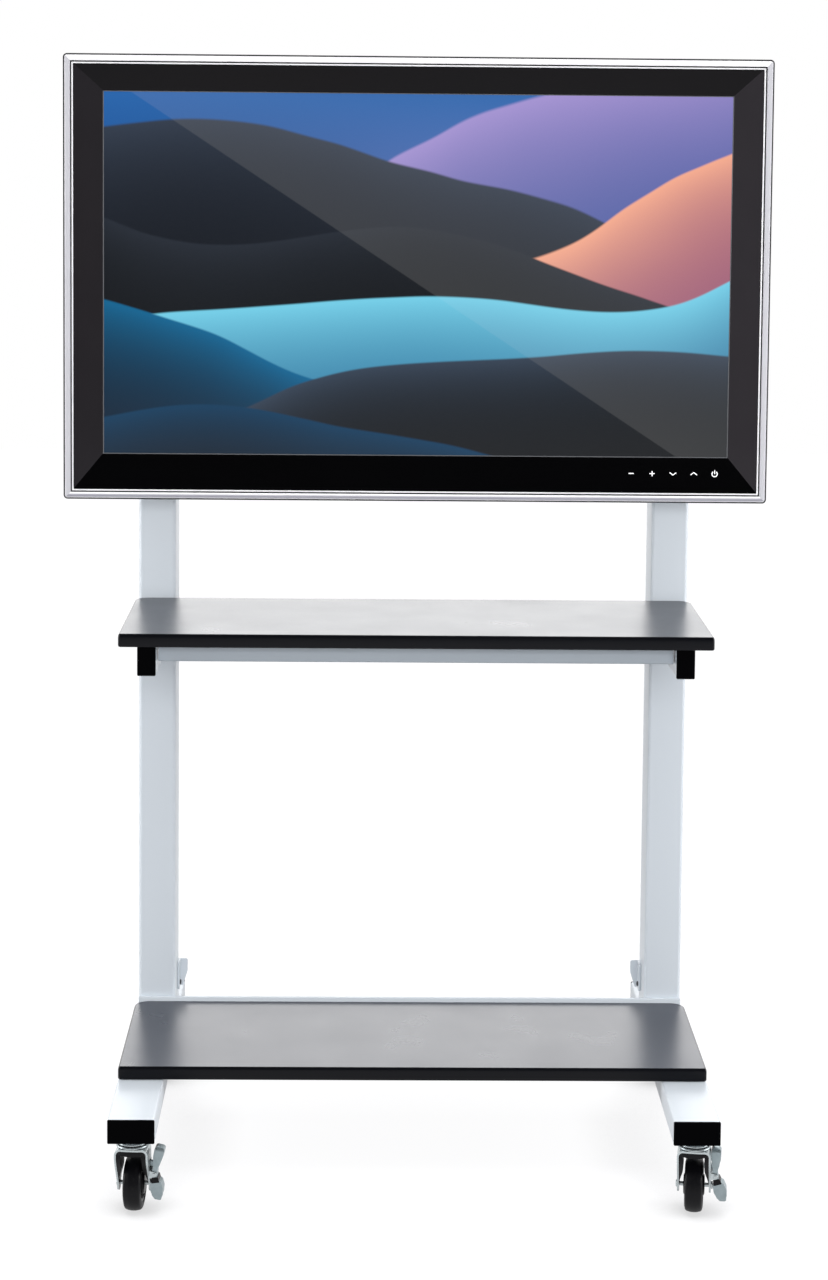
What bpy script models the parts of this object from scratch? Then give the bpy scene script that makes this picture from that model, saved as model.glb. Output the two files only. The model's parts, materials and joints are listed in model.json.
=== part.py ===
"""Rolling stand for a flat display, with two shelves, four swivel casters and the display hung on it.

Metres, +Z up. The origin is on the floor under the middle of the stand. The display faces -Y.
"""
import math

import bmesh
import bpy
from mathutils import Matrix, Vector

# Driving dimensions
GAP = 0.0003

# Base: foot tubes and posts
CASTER_HEIGHT = 0.110
FOOT_LENGTH = 0.640
FOOT_WIDTH = 0.064
FOOT_HEIGHT = 0.033
FOOT_CORNER = 0.003
TUBE_WALL = 0.002
CAP_FACE = 0.003
CAP_PLUG = 0.012
FOOT_REACH = 0.4755
POST_SPREAD = 0.823
POST_WIDTH = 0.055
POST_DEPTH = 0.080
POST_CORNER = 0.005
POST_TOP = 1.460

# Crossbar and brackets at the foot of the posts
CROSSBAR_DEPTH = 0.006
CROSSBAR_HEIGHT = 0.025
BRACKET_PLATE = 0.003
BRACKET_HEIGHT = 0.042
BRACKET_DEPTH = 0.026
BRACKET_FLANGE = 0.014
BRACKET_TOE = 0.007

# Shelves
SHELF_WIDTH = 0.832
SHELF_REACH = 0.312
SHELF_THICKNESS = 0.019
SHELF_REAR_CORNER = 0.022
SHELF_FRONT_CORNER = 0.004
BAND_THICKNESS = 0.0025
BAND_ROUND = 0.0035
UPPER_SHELF_TOP = 0.7795

# Arms and apron under the upper shelf
ARM_WIDTH = 0.026
ARM_HEIGHT = 0.042
ARM_INSET = 0.0075
ARM_SETBACK = 0.0105
ARM_CORNER = 0.002
APRON_HEIGHT = 0.025
APRON_DEPTH = 0.020
APRON_SETBACK = 0.022
APRON_END_GAP = 0.002

# Display
DISPLAY_WIDTH = 1.028
DISPLAY_HEIGHT = 0.647
DISPLAY_BOTTOM = 0.940
DISPLAY_FORWARD = 0.098
DISPLAY_DEPTH = 0.070
DISPLAY_CORNER = 0.006
TRIM_WIDTH = 0.0145
TRIM_DEPTH = 0.022
TRIM_ROUND = 0.0015
BEZEL_STEP = 0.0015
BEZEL_SLOPE = 0.0045
BEZEL_SHEET = 0.0025
BEZEL_CORNER = 0.002
SIDE_BORDER = 0.0585
TOP_BORDER = 0.0545
BOTTOM_BORDER = 0.0675
SCREEN_LAP = 0.004
SCREEN_GLASS = 0.003
CHASSIS_LAP = 0.010
CHASSIS_DEPTH = 0.018
COVER_WALL = 0.0025
COVER_RIM_INSET = 0.003
COVER_RIM_DEPTH = 0.012
COVER_SLOPE_INSET = 0.060
COVER_SLOPE_DEPTH = 0.014
COVER_BACK_INSET = 0.085
BOARD_SHEET = 0.0016
BOARD_OFFSET = 0.110
SPEAKER = (0.130, 0.026, 0.014)
SPEAKER_SETBACK = 0.184
KEY_BOARD = (0.150, 0.012)
KEY_BOARD_SETBACK = 0.129

# Circuit boards: width and height, then the tallest parts on each
# A part is its place as shares of the board's width and height, then its width, height and depth
MAIN_BOARD = (0.180, 0.120)
MAIN_BOARD_PARTS = (
    (0.0, 0.1, 0.050, 0.050, 0.010),
    (0.32, -0.3, 0.030, 0.020, 0.008),
    (-0.3, -0.3, 0.040, 0.016, 0.008),
)
POWER_BOARD = (0.150, 0.130)
POWER_BOARD_PARTS = (
    (0.0, 0.1, 0.045, 0.040, 0.016),
    (-0.3, 0.25, 0.022, 0.022, 0.016),
    (0.25, -0.3, 0.030, 0.024, 0.016),
)

# Display mount: J rails on the posts, hook arms on the display
RAIL_SHEET = 0.002
RAIL_HEIGHT = 0.045
RAIL_CHANNEL = 0.0135
RAIL_LIP = 0.020
RAIL_SPACING = 0.250
RAIL_RISE = 0.0115
HOOK_ARM_WIDTH = 0.026
HOOK_ARM_LENGTH = 0.400
HOOK_ARM_SPACING = 0.400
HOOK_ARM_DEPTH = 0.008
HOOK_LENGTH = 0.012
HOOK_THICKNESS = 0.005
HOOK_BRIDGE = 0.005

# Casters
CASTER_INSET = 0.032
CASTER_TRAIL = 0.020
WHEEL_DIAMETER = 0.075
TYRE_WIDTH = 0.025
TYRE_THICKNESS = 0.0115
TYRE_SHOULDER = 0.003
HUB_WIDTH = 0.029
HUB_RIM_WIDTH = 0.023
HUB_RIM = 0.005
HUB_WEB = 0.004
HUB_BOSS = 0.019
HUB_BOSS_EASE = 0.00095
AXLE_DIAMETER = 0.006
AXLE_HEAD = 0.010
AXLE_HEAD_HEIGHT = 0.0025
AXLE_HEAD_EASE = 0.001
RUNNING_GAP = 0.0004
FORK_WIDTH = 0.046
FORK_SHEET = 0.0025
FORK_SHOULDER = 0.009
FORK_TOP_HALF = 0.021
FORK_TOE = 0.0105
FORK_TOE_START = 200.0
FORK_TOE_END = 355.0
RACE_DIAMETER = 0.043
RACE_HEIGHT = 0.0045
RACE_LIP = 0.00135
LOWER_RACE_HEIGHT = 0.004
STEM_DIAMETER = 0.010
STEM_LENGTH = 0.024
STEM_HOLE = 0.011

# Brake: a rocking pedal on a pin beside the fork
PIN_DIAMETER = 0.003
PIN_HEAD = 0.0048
PIN_HEAD_HEIGHT = 0.001
PIN_HEIGHT = 0.056
PIN_OFFSET = 0.0060
PIN_FORWARD = 0.012
PEDAL_WIDTH = 0.018
PEDAL_SHEET = 0.002
PEDAL_UPPER = 0.042
PEDAL_LOWER = 0.038
PEDAL_LOBE = 0.0130
PEDAL_NECK = 0.0070
PEDAL_UPPER_LEAN = 2.0
PEDAL_LOWER_LEAN = 18.0
PEDAL_STROKE = 10.0
EAR_SHEET = 0.002
EAR_ROOT = 0.0105
EAR_GAP = 0.0006
NOSE_HEIGHT = 0.006
NOSE_WIDTH = 0.007
NOSE_RISE = 0.012
NOSE_GAP = 0.0008
WINDOW_PLAY = 0.004

# Casters by name: side, end, turn about the vertical, brake, pedal tilt
CASTERS = (
    ("front_left", -1, -1, -4.0, True, PEDAL_STROKE),
    ("front_right", 1, -1, -8.5, True, 0.0),
    ("rear_left", -1, 1, 172.0, False, 0.0),
    ("rear_right", 1, 1, -166.0, False, 0.0),
)

# Colours: base colour, roughness, metallic
FINISHES = {
    "silver_paint": ((0.62, 0.66, 0.70), 0.38, 0.3),
    "black_plastic": ((0.012, 0.012, 0.014), 0.22, 0.0),
    "graphite_laminate": ((0.060, 0.064, 0.072), 0.30, 0.0),
    "black_edging": ((0.015, 0.015, 0.019), 0.35, 0.0),
    "grey_paint": ((0.33, 0.36, 0.38), 0.45, 0.2),
    "zinc": ((0.66, 0.70, 0.72), 0.28, 0.9),
    "dark_steel": ((0.10, 0.10, 0.11), 0.40, 0.9),
    "black_rubber": ((0.016, 0.016, 0.017), 0.55, 0.0),
    "trim_silver": ((0.80, 0.81, 0.84), 0.25, 0.6),
    "screen": ((0.10, 0.16, 0.26), 0.15, 0.0),
    "circuit_board": ((0.02, 0.16, 0.07), 0.50, 0.0),
    "grey_plastic": ((0.30, 0.31, 0.33), 0.50, 0.0),
}

# Smallest corner that the shapes are given
SHARP = 0.0001

SMALL_STEPS = 3
TYRE_SEGMENTS = 32
ROUND_SEGMENTS = 24
BOLT_SEGMENTS = 12

# Places worked out from the dimensions
POST_CENTRE = (POST_SPREAD - POST_WIDTH) / 2
POST_INNER = POST_SPREAD / 2 - POST_WIDTH
FOOT_TOP = CASTER_HEIGHT + FOOT_HEIGHT
POST_FRONT = FOOT_REACH - FOOT_LENGTH / 2
SHELF_FRONT = POST_FRONT - SHELF_REACH
LOWER_SHELF_TOP = FOOT_TOP + GAP + SHELF_THICKNESS
DISPLAY_FRONT = POST_FRONT - DISPLAY_FORWARD
DISPLAY_BACK = DISPLAY_FRONT + DISPLAY_DEPTH
DISPLAY_TOP = DISPLAY_BOTTOM + DISPLAY_HEIGHT
DISPLAY_MIDDLE = DISPLAY_BOTTOM + DISPLAY_HEIGHT / 2
UPPER_RAIL_TOP = DISPLAY_MIDDLE + RAIL_RISE + RAIL_SPACING / 2
LOWER_RAIL_TOP = UPPER_RAIL_TOP - RAIL_SPACING
SCREEN_BOTTOM = DISPLAY_BOTTOM + BOTTOM_BORDER
SCREEN_TOP = DISPLAY_TOP - TOP_BORDER
SCREEN_FACE = DISPLAY_FRONT + BEZEL_STEP + BEZEL_SLOPE + BEZEL_SHEET + GAP
WHEEL_RADIUS = WHEEL_DIAMETER / 2


def clear_scene():
    for item in list(bpy.data.objects):
        bpy.data.objects.remove(item, do_unlink=True)


def material_for(name, finish):
    colour, roughness, metallic = FINISHES[finish]
    material = bpy.data.materials.new(name)
    material.use_nodes = True
    shader = material.node_tree.nodes["Principled BSDF"]
    shader.inputs["Base Color"].default_value = (*colour, 1.0)
    shader.inputs["Roughness"].default_value = roughness
    shader.inputs["Metallic"].default_value = metallic
    return material


def add_object(name, mesh, finish, parent=None, location=(0, 0, 0), smooth=False):
    """Places a mesh as a named sub-part; each copy gets its own object and material slot."""
    item = bpy.data.objects.new(name, mesh)
    bpy.context.scene.collection.objects.link(item)
    if not mesh.materials:
        mesh.materials.append(None)
    item.material_slots[0].link = "OBJECT"
    item.material_slots[0].material = material_for(name, finish)
    item.parent = parent
    item.location = location
    if smooth:
        mesh.shade_smooth()
        mesh.set_sharp_from_angle(angle=math.radians(35))
    return item


def loft(rings, closed=False):
    """Skins a row of loops with equal point counts, then caps its ends or joins them into a ring."""
    shape = bmesh.new()
    loops = [[shape.verts.new(point) for point in ring] for ring in rings]
    pairs = list(zip(loops, loops[1:]))
    if closed:
        pairs.append((loops[-1], loops[0]))
    else:
        shape.faces.new(loops[0])
        shape.faces.new(loops[-1])
    count = len(loops[0])
    for near, far in pairs:
        for i in range(count):
            j = (i + 1) % count
            shape.faces.new((near[i], near[j], far[j], far[i]))
    bmesh.ops.recalc_face_normals(shape, faces=shape.faces)
    mesh = bpy.data.meshes.new("shape")
    shape.to_mesh(mesh)
    shape.free()
    return mesh


def on_axis(axis, along, u, v):
    """A point at a place along an axis; u and v are the other two coordinates in X, Y, Z order."""
    return {"X": (along, u, v), "Y": (u, along, v), "Z": (u, v, along)}[axis]


def prism(outline, axis, start, end):
    """Extrudes an outline of (u, v) points along an axis."""
    return loft([[on_axis(axis, along, u, v) for u, v in outline] for along in (start, end)])


def arc(centre, radius, start, end, steps):
    angles = [math.radians(start + (end - start) * i / steps) for i in range(steps + 1)]
    return [(centre[0] + radius * math.cos(a), centre[1] + radius * math.sin(a)) for a in angles]


def rounded_rectangle(left, right, bottom, top, corners, steps=SMALL_STEPS):
    """Corner radii run from the lower left corner, anticlockwise; one number serves all four."""
    if not isinstance(corners, tuple):
        corners = (corners,) * 4
    places = ((left, bottom, 1, 1), (right, bottom, -1, 1), (right, top, -1, -1), (left, top, 1, -1))
    points = []
    for (x, y, inward_x, inward_y), radius, start in zip(places, corners, (180, 270, 0, 90)):
        centre = (x + inward_x * radius, y + inward_y * radius)
        points += arc(centre, radius, start, start + 90, steps)
    return points


def centred_rectangle(centre, width, height, radius, steps=SMALL_STEPS):
    u, v = centre
    return rounded_rectangle(u - width / 2, u + width / 2, v - height / 2, v + height / 2, radius, steps)


def box(x, y, z):
    """A plain block from three (low, high) pairs."""
    outline = [(x[0], y[0]), (x[1], y[0]), (x[1], y[1]), (x[0], y[1])]
    return prism(outline, "Z", z[0], z[1])


def rectangular_tube(axis, start, end, centre, width, height, corner):
    """An open tube along an axis, with a wall of TUBE_WALL."""
    outer = centred_rectangle(centre, width, height, corner)
    inner_corner = max(corner - TUBE_WALL, TUBE_WALL / 4)
    inner = centred_rectangle(centre, width - 2 * TUBE_WALL, height - 2 * TUBE_WALL, inner_corner)
    stations = ((outer, start), (outer, end), (inner, end), (inner, start))
    rings = [[on_axis(axis, along, u, v) for u, v in outline] for outline, along in stations]
    return loft(rings, closed=True)


def tube_cap(axis, mouth, outward, centre, width, height, corner):
    """A push-in cap: an eased face plate outside the tube's mouth and a plug inside it."""
    ease = CAP_FACE / 4
    face = mouth + outward * (GAP + CAP_FACE)
    seat = mouth + outward * GAP
    plug_loss = 2 * (TUBE_WALL + GAP)
    plug_corner = max(corner - TUBE_WALL, TUBE_WALL / 4)
    stations = (
        (face, width - 2 * ease, height - 2 * ease, corner),
        (face - outward * ease, width, height, corner),
        (seat, width, height, corner),
        (seat, width - plug_loss, height - plug_loss, plug_corner),
        (mouth - outward * CAP_PLUG, width - plug_loss, height - plug_loss, plug_corner),
    )
    rings = []
    for along, wide, high, radius in stations:
        outline = centred_rectangle(centre, wide, high, radius)
        rings.append([on_axis(axis, along, u, v) for u, v in outline])
    return loft(rings)


def circle(axis, along, centre, radius, segments=ROUND_SEGMENTS):
    """A ring of points round an axis, with one point straight down."""
    u, v = centre
    turns = [2 * math.pi * i / segments - math.pi / 2 for i in range(segments)]
    return [on_axis(axis, along, u + radius * math.cos(t), v + radius * math.sin(t)) for t in turns]


def turned(axis, profile, centre=(0, 0), segments=ROUND_SEGMENTS, closed=False):
    """Turns (radius, along) points about an axis; a closed profile leaves a bore."""
    return loft([circle(axis, along, centre, radius, segments) for radius, along in profile], closed)


def combined(base, others):
    """The base mesh after a row of Boolean steps, each an (operation, mesh) pair."""
    body = bpy.data.objects.new("body", base)
    bpy.context.scene.collection.objects.link(body)
    tools = []
    for operation, mesh in others:
        tool = bpy.data.objects.new("tool", mesh)
        tool.hide_render = True
        tool.display_type = "WIRE"
        bpy.context.scene.collection.objects.link(tool)
        step = body.modifiers.new("step", "BOOLEAN")
        step.operation = operation
        step.solver = "EXACT"
        step.object = tool
        tools.append(tool)
    graph = bpy.context.evaluated_depsgraph_get()
    result = bpy.data.meshes.new_from_object(body.evaluated_get(graph))
    for item in [body, *tools]:
        bpy.data.objects.remove(item, do_unlink=True)
    return result


def empty(name, location, parent=None, turn=0.0):
    item = bpy.data.objects.new(name, None)
    item.location = location
    item.rotation_euler[2] = math.radians(turn)
    item.parent = parent
    bpy.context.scene.collection.objects.link(item)
    return item


def caster_place(side, end):
    """The swivel axis of one caster, on the floor."""
    return side * POST_CENTRE, end * (FOOT_LENGTH / 2 - CASTER_INSET)


def feet():
    mouth = FOOT_LENGTH / 2 - CAP_FACE - GAP
    for side_name, side in (("left", -1), ("right", 1)):
        centre = (side * POST_CENTRE, CASTER_HEIGHT + FOOT_HEIGHT / 2)
        tube = rectangular_tube("Y", -mouth, mouth, centre, FOOT_WIDTH, FOOT_HEIGHT, FOOT_CORNER)
        holes = []
        for end in (-1, 1):
            low, high = CASTER_HEIGHT - TUBE_WALL, CASTER_HEIGHT + 2 * TUBE_WALL
            profile = ((STEM_HOLE / 2, low), (STEM_HOLE / 2, high))
            holes.append(("DIFFERENCE", turned("Z", profile, caster_place(side, end), BOLT_SEGMENTS)))
        add_object(f"{side_name}_foot", combined(tube, holes), "silver_paint")
        for end_name, end in (("front", -1), ("rear", 1)):
            cap = tube_cap("Y", end * mouth, end, centre, FOOT_WIDTH, FOOT_HEIGHT, FOOT_CORNER)
            add_object(f"{side_name}_{end_name}_foot_cap", cap, "black_plastic")


def posts():
    middle_y = POST_FRONT + POST_DEPTH / 2
    for side_name, side in (("left", -1), ("right", 1)):
        centre = (side * POST_CENTRE, middle_y)
        tube = rectangular_tube("Z", FOOT_TOP + GAP, POST_TOP, centre, POST_WIDTH, POST_DEPTH, POST_CORNER)
        add_object(f"{side_name}_post", tube, "silver_paint")
        cap = tube_cap("Z", POST_TOP, 1, centre, POST_WIDTH, POST_DEPTH, POST_CORNER)
        add_object(f"{side_name}_post_cap", cap, "black_plastic")


def base_crossbar():
    """The flat bar that ties the posts together behind the lower shelf."""
    back = POST_FRONT - GAP
    bottom = FOOT_TOP + GAP
    bar = box(
        (-POST_SPREAD / 2, POST_SPREAD / 2),
        (back - CROSSBAR_DEPTH, back),
        (bottom, bottom + CROSSBAR_HEIGHT),
    )
    add_object("base_crossbar", bar, "silver_paint")


def post_brackets():
    """An angle on each post's inner face: a leg, and a flange that narrows to its toe."""
    bottom = LOWER_SHELF_TOP + GAP
    top = bottom + BRACKET_HEIGHT
    rear = POST_FRONT + POST_DEPTH - POST_CORNER
    for side_name, side in (("left", -1), ("right", 1)):
        wall = side * (POST_INNER - GAP)
        leg = prism(
            [(rear - BRACKET_DEPTH, bottom), (rear, bottom), (rear, top), (rear - BRACKET_DEPTH, top)],
            "X",
            wall,
            wall - side * BRACKET_PLATE,
        )
        edge, toe = wall - side * BRACKET_FLANGE, wall - side * BRACKET_TOE
        outline = [(wall, bottom), (wall, top), (edge, top), (toe, bottom)]
        flange = prism(outline, "Y", rear - BRACKET_PLATE, rear)
        add_object(f"{side_name}_post_bracket", combined(leg, [("UNION", flange)]), "silver_paint")


def shelf_outline(back, inset):
    """The shelf seen from above, drawn in by an inset; the rear corners are the large ones."""
    front_corner = max(SHELF_FRONT_CORNER - inset, SHELF_FRONT_CORNER / 8)
    rear_corner = max(SHELF_REAR_CORNER - inset, SHELF_REAR_CORNER / 8)
    half = SHELF_WIDTH / 2 - inset
    corners = (front_corner, front_corner, rear_corner, rear_corner)
    return rounded_rectangle(-half, half, SHELF_FRONT + inset, back - inset, corners, 5)


def shelf(name, top, back):
    """A laminate board and the black band round its edge."""
    bottom = top - SHELF_THICKNESS
    board = prism(shelf_outline(back, BAND_THICKNESS + GAP), "Z", bottom, top)
    add_object(f"{name}_board", board, "graphite_laminate")
    soft = BAND_ROUND / 3
    profile = (
        (BAND_THICKNESS, top),
        (soft, top),
        (0, top - BAND_ROUND),
        (0, bottom + BAND_ROUND),
        (soft, bottom),
        (BAND_THICKNESS, bottom),
    )
    rings = [[(x, y, z) for x, y in shelf_outline(back, inset)] for inset, z in profile]
    add_object(f"{name}_edge_band", loft(rings, closed=True), "black_edging")


def shelves():
    shelf("lower_shelf", LOWER_SHELF_TOP, POST_FRONT - CROSSBAR_DEPTH - 2 * GAP)
    shelf("upper_shelf", UPPER_SHELF_TOP, POST_FRONT - GAP)


def shelf_arms():
    top = UPPER_SHELF_TOP - SHELF_THICKNESS - GAP
    front = SHELF_FRONT + ARM_SETBACK + CAP_FACE + GAP
    for side_name, side in (("left", -1), ("right", 1)):
        centre = (side * (POST_INNER + ARM_INSET + ARM_WIDTH / 2), top - ARM_HEIGHT / 2)
        arm = rectangular_tube("Y", front, POST_FRONT - GAP, centre, ARM_WIDTH, ARM_HEIGHT, ARM_CORNER)
        add_object(f"{side_name}_shelf_arm", arm, "silver_paint")
        cap = tube_cap("Y", front, -1, centre, ARM_WIDTH, ARM_HEIGHT, ARM_CORNER)
        add_object(f"{side_name}_arm_cap", cap, "black_plastic")


def shelf_apron():
    """The stiffening tube under the front of the upper shelf, between the arms."""
    half = POST_INNER + ARM_INSET - APRON_END_GAP
    front = SHELF_FRONT + ARM_SETBACK + APRON_SETBACK
    top = UPPER_SHELF_TOP - SHELF_THICKNESS - GAP
    centre = (front + APRON_DEPTH / 2, top - APRON_HEIGHT / 2)
    apron = rectangular_tube("X", -half, half, centre, APRON_DEPTH, APRON_HEIGHT, TUBE_WALL)
    add_object("shelf_apron", apron, "grey_paint")


def mount_rails():
    """J-shaped rails across the fronts of the posts; the hook arms hang over their front lips."""
    back = POST_FRONT - GAP
    half = POST_SPREAD / 2
    front = back - RAIL_CHANNEL - 2 * RAIL_SHEET
    for name, top in (("upper", UPPER_RAIL_TOP), ("lower", LOWER_RAIL_TOP)):
        bottom = top - RAIL_HEIGHT
        outline = [
            (back, bottom),
            (back, top),
            (back - RAIL_SHEET, top),
            (back - RAIL_SHEET, bottom + RAIL_SHEET),
            (front + RAIL_SHEET, bottom + RAIL_SHEET),
            (front + RAIL_SHEET, bottom + RAIL_LIP),
            (front, bottom + RAIL_LIP),
            (front, bottom),
        ]
        add_object(f"mount_{name}_rail", prism(outline, "X", -half, half), "dark_steel")


def hook_outline(bar_back, lip_top):
    """One hook on the bar's side: up over the rail's lip and down behind it."""
    bridge_bottom = lip_top + GAP
    bridge_top = bridge_bottom + HOOK_BRIDGE
    finger_back = POST_FRONT - GAP - RAIL_SHEET - RAIL_CHANNEL / 4
    finger_front = finger_back - HOOK_THICKNESS
    tip = bridge_bottom - HOOK_LENGTH
    return [
        (bar_back, bridge_bottom),
        (finger_front, bridge_bottom),
        (finger_front, tip),
        (finger_back, tip),
        (finger_back, bridge_top),
        (bar_back, bridge_top),
    ]


def hook_arms():
    bar_front = DISPLAY_BACK + GAP
    bar_back = bar_front + HOOK_ARM_DEPTH
    low, high = DISPLAY_MIDDLE - HOOK_ARM_LENGTH / 2, DISPLAY_MIDDLE + HOOK_ARM_LENGTH / 2
    outline = [(bar_front, low), (bar_back, low)]
    for rail_top in (LOWER_RAIL_TOP, UPPER_RAIL_TOP):
        outline += hook_outline(bar_back, rail_top - RAIL_HEIGHT + RAIL_LIP)
    outline += [(bar_back, high), (bar_front, high)]
    for side_name, side in (("left", -1), ("right", 1)):
        centre = side * HOOK_ARM_SPACING / 2
        arm = prism(outline, "X", centre - HOOK_ARM_WIDTH / 2, centre + HOOK_ARM_WIDTH / 2)
        add_object(f"{side_name}_hook_arm", arm, "dark_steel", DISPLAY)


def display_ring(inset, depth, corner):
    """The display's outline drawn in by an inset, at a depth behind its front."""
    half = DISPLAY_WIDTH / 2 - inset
    outline = rounded_rectangle(-half, half, DISPLAY_BOTTOM + inset, DISPLAY_TOP - inset, corner)
    return [(x, DISPLAY_FRONT + depth, z) for x, z in outline]


def screen_ring(lap, y):
    """The screen's opening widened by a lap."""
    half = DISPLAY_WIDTH / 2 - SIDE_BORDER + lap
    low, high = SCREEN_BOTTOM - lap, SCREEN_TOP + lap
    return [(x, y, z) for x, z in rounded_rectangle(-half, half, low, high, BEZEL_CORNER / 2)]


def display_trim():
    sharp = DISPLAY_CORNER / 4
    rings = [
        display_ring(TRIM_ROUND, 0, DISPLAY_CORNER),
        display_ring(0, TRIM_ROUND, DISPLAY_CORNER),
        display_ring(0, TRIM_DEPTH, DISPLAY_CORNER),
        display_ring(TRIM_WIDTH, TRIM_DEPTH, sharp),
        display_ring(TRIM_WIDTH, TRIM_ROUND, sharp),
        display_ring(TRIM_WIDTH - TRIM_ROUND, 0, sharp),
    ]
    add_object("display_trim", loft(rings, closed=True), "trim_silver", DISPLAY)


def display_bezel():
    """The black surround, sloping in from the trim to the screen."""
    edge = TRIM_WIDTH + GAP
    deep = DISPLAY_FRONT + BEZEL_STEP + BEZEL_SLOPE
    rings = [
        display_ring(edge, BEZEL_STEP, BEZEL_CORNER),
        screen_ring(0, deep),
        screen_ring(0, deep + BEZEL_SHEET),
        display_ring(edge, BEZEL_STEP + BEZEL_SHEET, BEZEL_CORNER),
    ]
    add_object("display_bezel", loft(rings, closed=True), "black_plastic", DISPLAY)


def display_screen():
    rings = [screen_ring(SCREEN_LAP, SCREEN_FACE), screen_ring(SCREEN_LAP, SCREEN_FACE + SCREEN_GLASS)]
    add_object("display_screen", loft(rings), "screen", DISPLAY)


def display_chassis():
    front = SCREEN_FACE + SCREEN_GLASS + GAP
    rings = [screen_ring(CHASSIS_LAP, front), screen_ring(CHASSIS_LAP, front + CHASSIS_DEPTH)]
    add_object("display_chassis", loft(rings), "zinc", DISPLAY)


def display_back_cover():
    """A cup that opens to the front: a rim behind the trim, a slope, and a flat back."""
    start = TRIM_DEPTH + GAP
    rim_end = start + COVER_RIM_DEPTH
    slope_end = rim_end + COVER_SLOPE_DEPTH
    wall = COVER_WALL
    corner = DISPLAY_CORNER
    rings = [
        display_ring(COVER_BACK_INSET + wall, DISPLAY_DEPTH - wall, corner),
        display_ring(COVER_SLOPE_INSET + wall, slope_end - wall, corner),
        display_ring(COVER_RIM_INSET + wall, rim_end - wall, corner),
        display_ring(COVER_RIM_INSET + wall, start, corner),
        display_ring(COVER_RIM_INSET, start, corner),
        display_ring(COVER_RIM_INSET, rim_end, corner),
        display_ring(COVER_SLOPE_INSET, slope_end, corner),
        display_ring(COVER_BACK_INSET, DISPLAY_DEPTH, corner),
    ]
    add_object("display_back_cover", loft(rings), "black_plastic", DISPLAY)


def circuit_board(name, centre_x, size, blocks):
    """A sheet on the chassis's back, with the tallest parts on it."""
    front = SCREEN_FACE + SCREEN_GLASS + CHASSIS_DEPTH + 2 * GAP
    centre_z = DISPLAY_MIDDLE
    width, height = size
    back = front + BOARD_SHEET
    sheet = box(
        (centre_x - width / 2, centre_x + width / 2),
        (front, back),
        (centre_z - height / 2, centre_z + height / 2),
    )
    parts = []
    for x, z, wide, high, deep in blocks:
        x_range = (centre_x + x * width - wide / 2, centre_x + x * width + wide / 2)
        z_range = (centre_z + z * height - high / 2, centre_z + z * height + high / 2)
        parts.append(("UNION", box(x_range, (back - BOARD_SHEET / 2, back + deep), z_range)))
    add_object(name, combined(sheet, parts), "circuit_board", DISPLAY)


def display_electronics():
    circuit_board("main_board", BOARD_OFFSET, MAIN_BOARD, MAIN_BOARD_PARTS)
    circuit_board("power_board", -BOARD_OFFSET, POWER_BOARD, POWER_BOARD_PARTS)
    wide, high, deep = SPEAKER
    front = SCREEN_FACE + SCREEN_GLASS + GAP
    top = SCREEN_BOTTOM - CHASSIS_LAP - GAP
    for side_name, side in (("left", -1), ("right", 1)):
        middle = side * (DISPLAY_WIDTH / 2 - SPEAKER_SETBACK)
        speaker = box((middle - wide / 2, middle + wide / 2), (front, front + deep), (top - high, top))
        add_object(f"{side_name}_speaker", speaker, "grey_plastic", DISPLAY)
    key_wide, key_high = KEY_BOARD
    bezel_bottom = DISPLAY_BOTTOM + TRIM_WIDTH + GAP
    key_middle = (bezel_bottom + SCREEN_BOTTOM) / 2
    climb = (key_middle + key_high / 2 - bezel_bottom) / (SCREEN_BOTTOM - bezel_bottom)
    key_front = DISPLAY_FRONT + BEZEL_STEP + BEZEL_SHEET + climb * BEZEL_SLOPE + GAP
    key_centre = DISPLAY_WIDTH / 2 - KEY_BOARD_SETBACK
    keys = box(
        (key_centre - key_wide / 2, key_centre + key_wide / 2),
        (key_front, key_front + BOARD_SHEET),
        (key_middle - key_high / 2, key_middle + key_high / 2),
    )
    add_object("key_board", keys, "circuit_board", DISPLAY)


def caster_stem_mesh():
    """The fixed half of the swivel: upper race under the foot, and a stem up through its hole."""
    top = CASTER_HEIGHT - GAP
    profile = (
        (RACE_DIAMETER / 2 - GAP, top - RACE_HEIGHT),
        (RACE_DIAMETER / 2, top - RACE_HEIGHT + RACE_LIP),
        (RACE_DIAMETER / 2 - RACE_HEIGHT / 4, top),
        (STEM_DIAMETER / 2, top),
        (STEM_DIAMETER / 2, top + STEM_LENGTH),
    )
    return turned("Z", profile)


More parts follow.
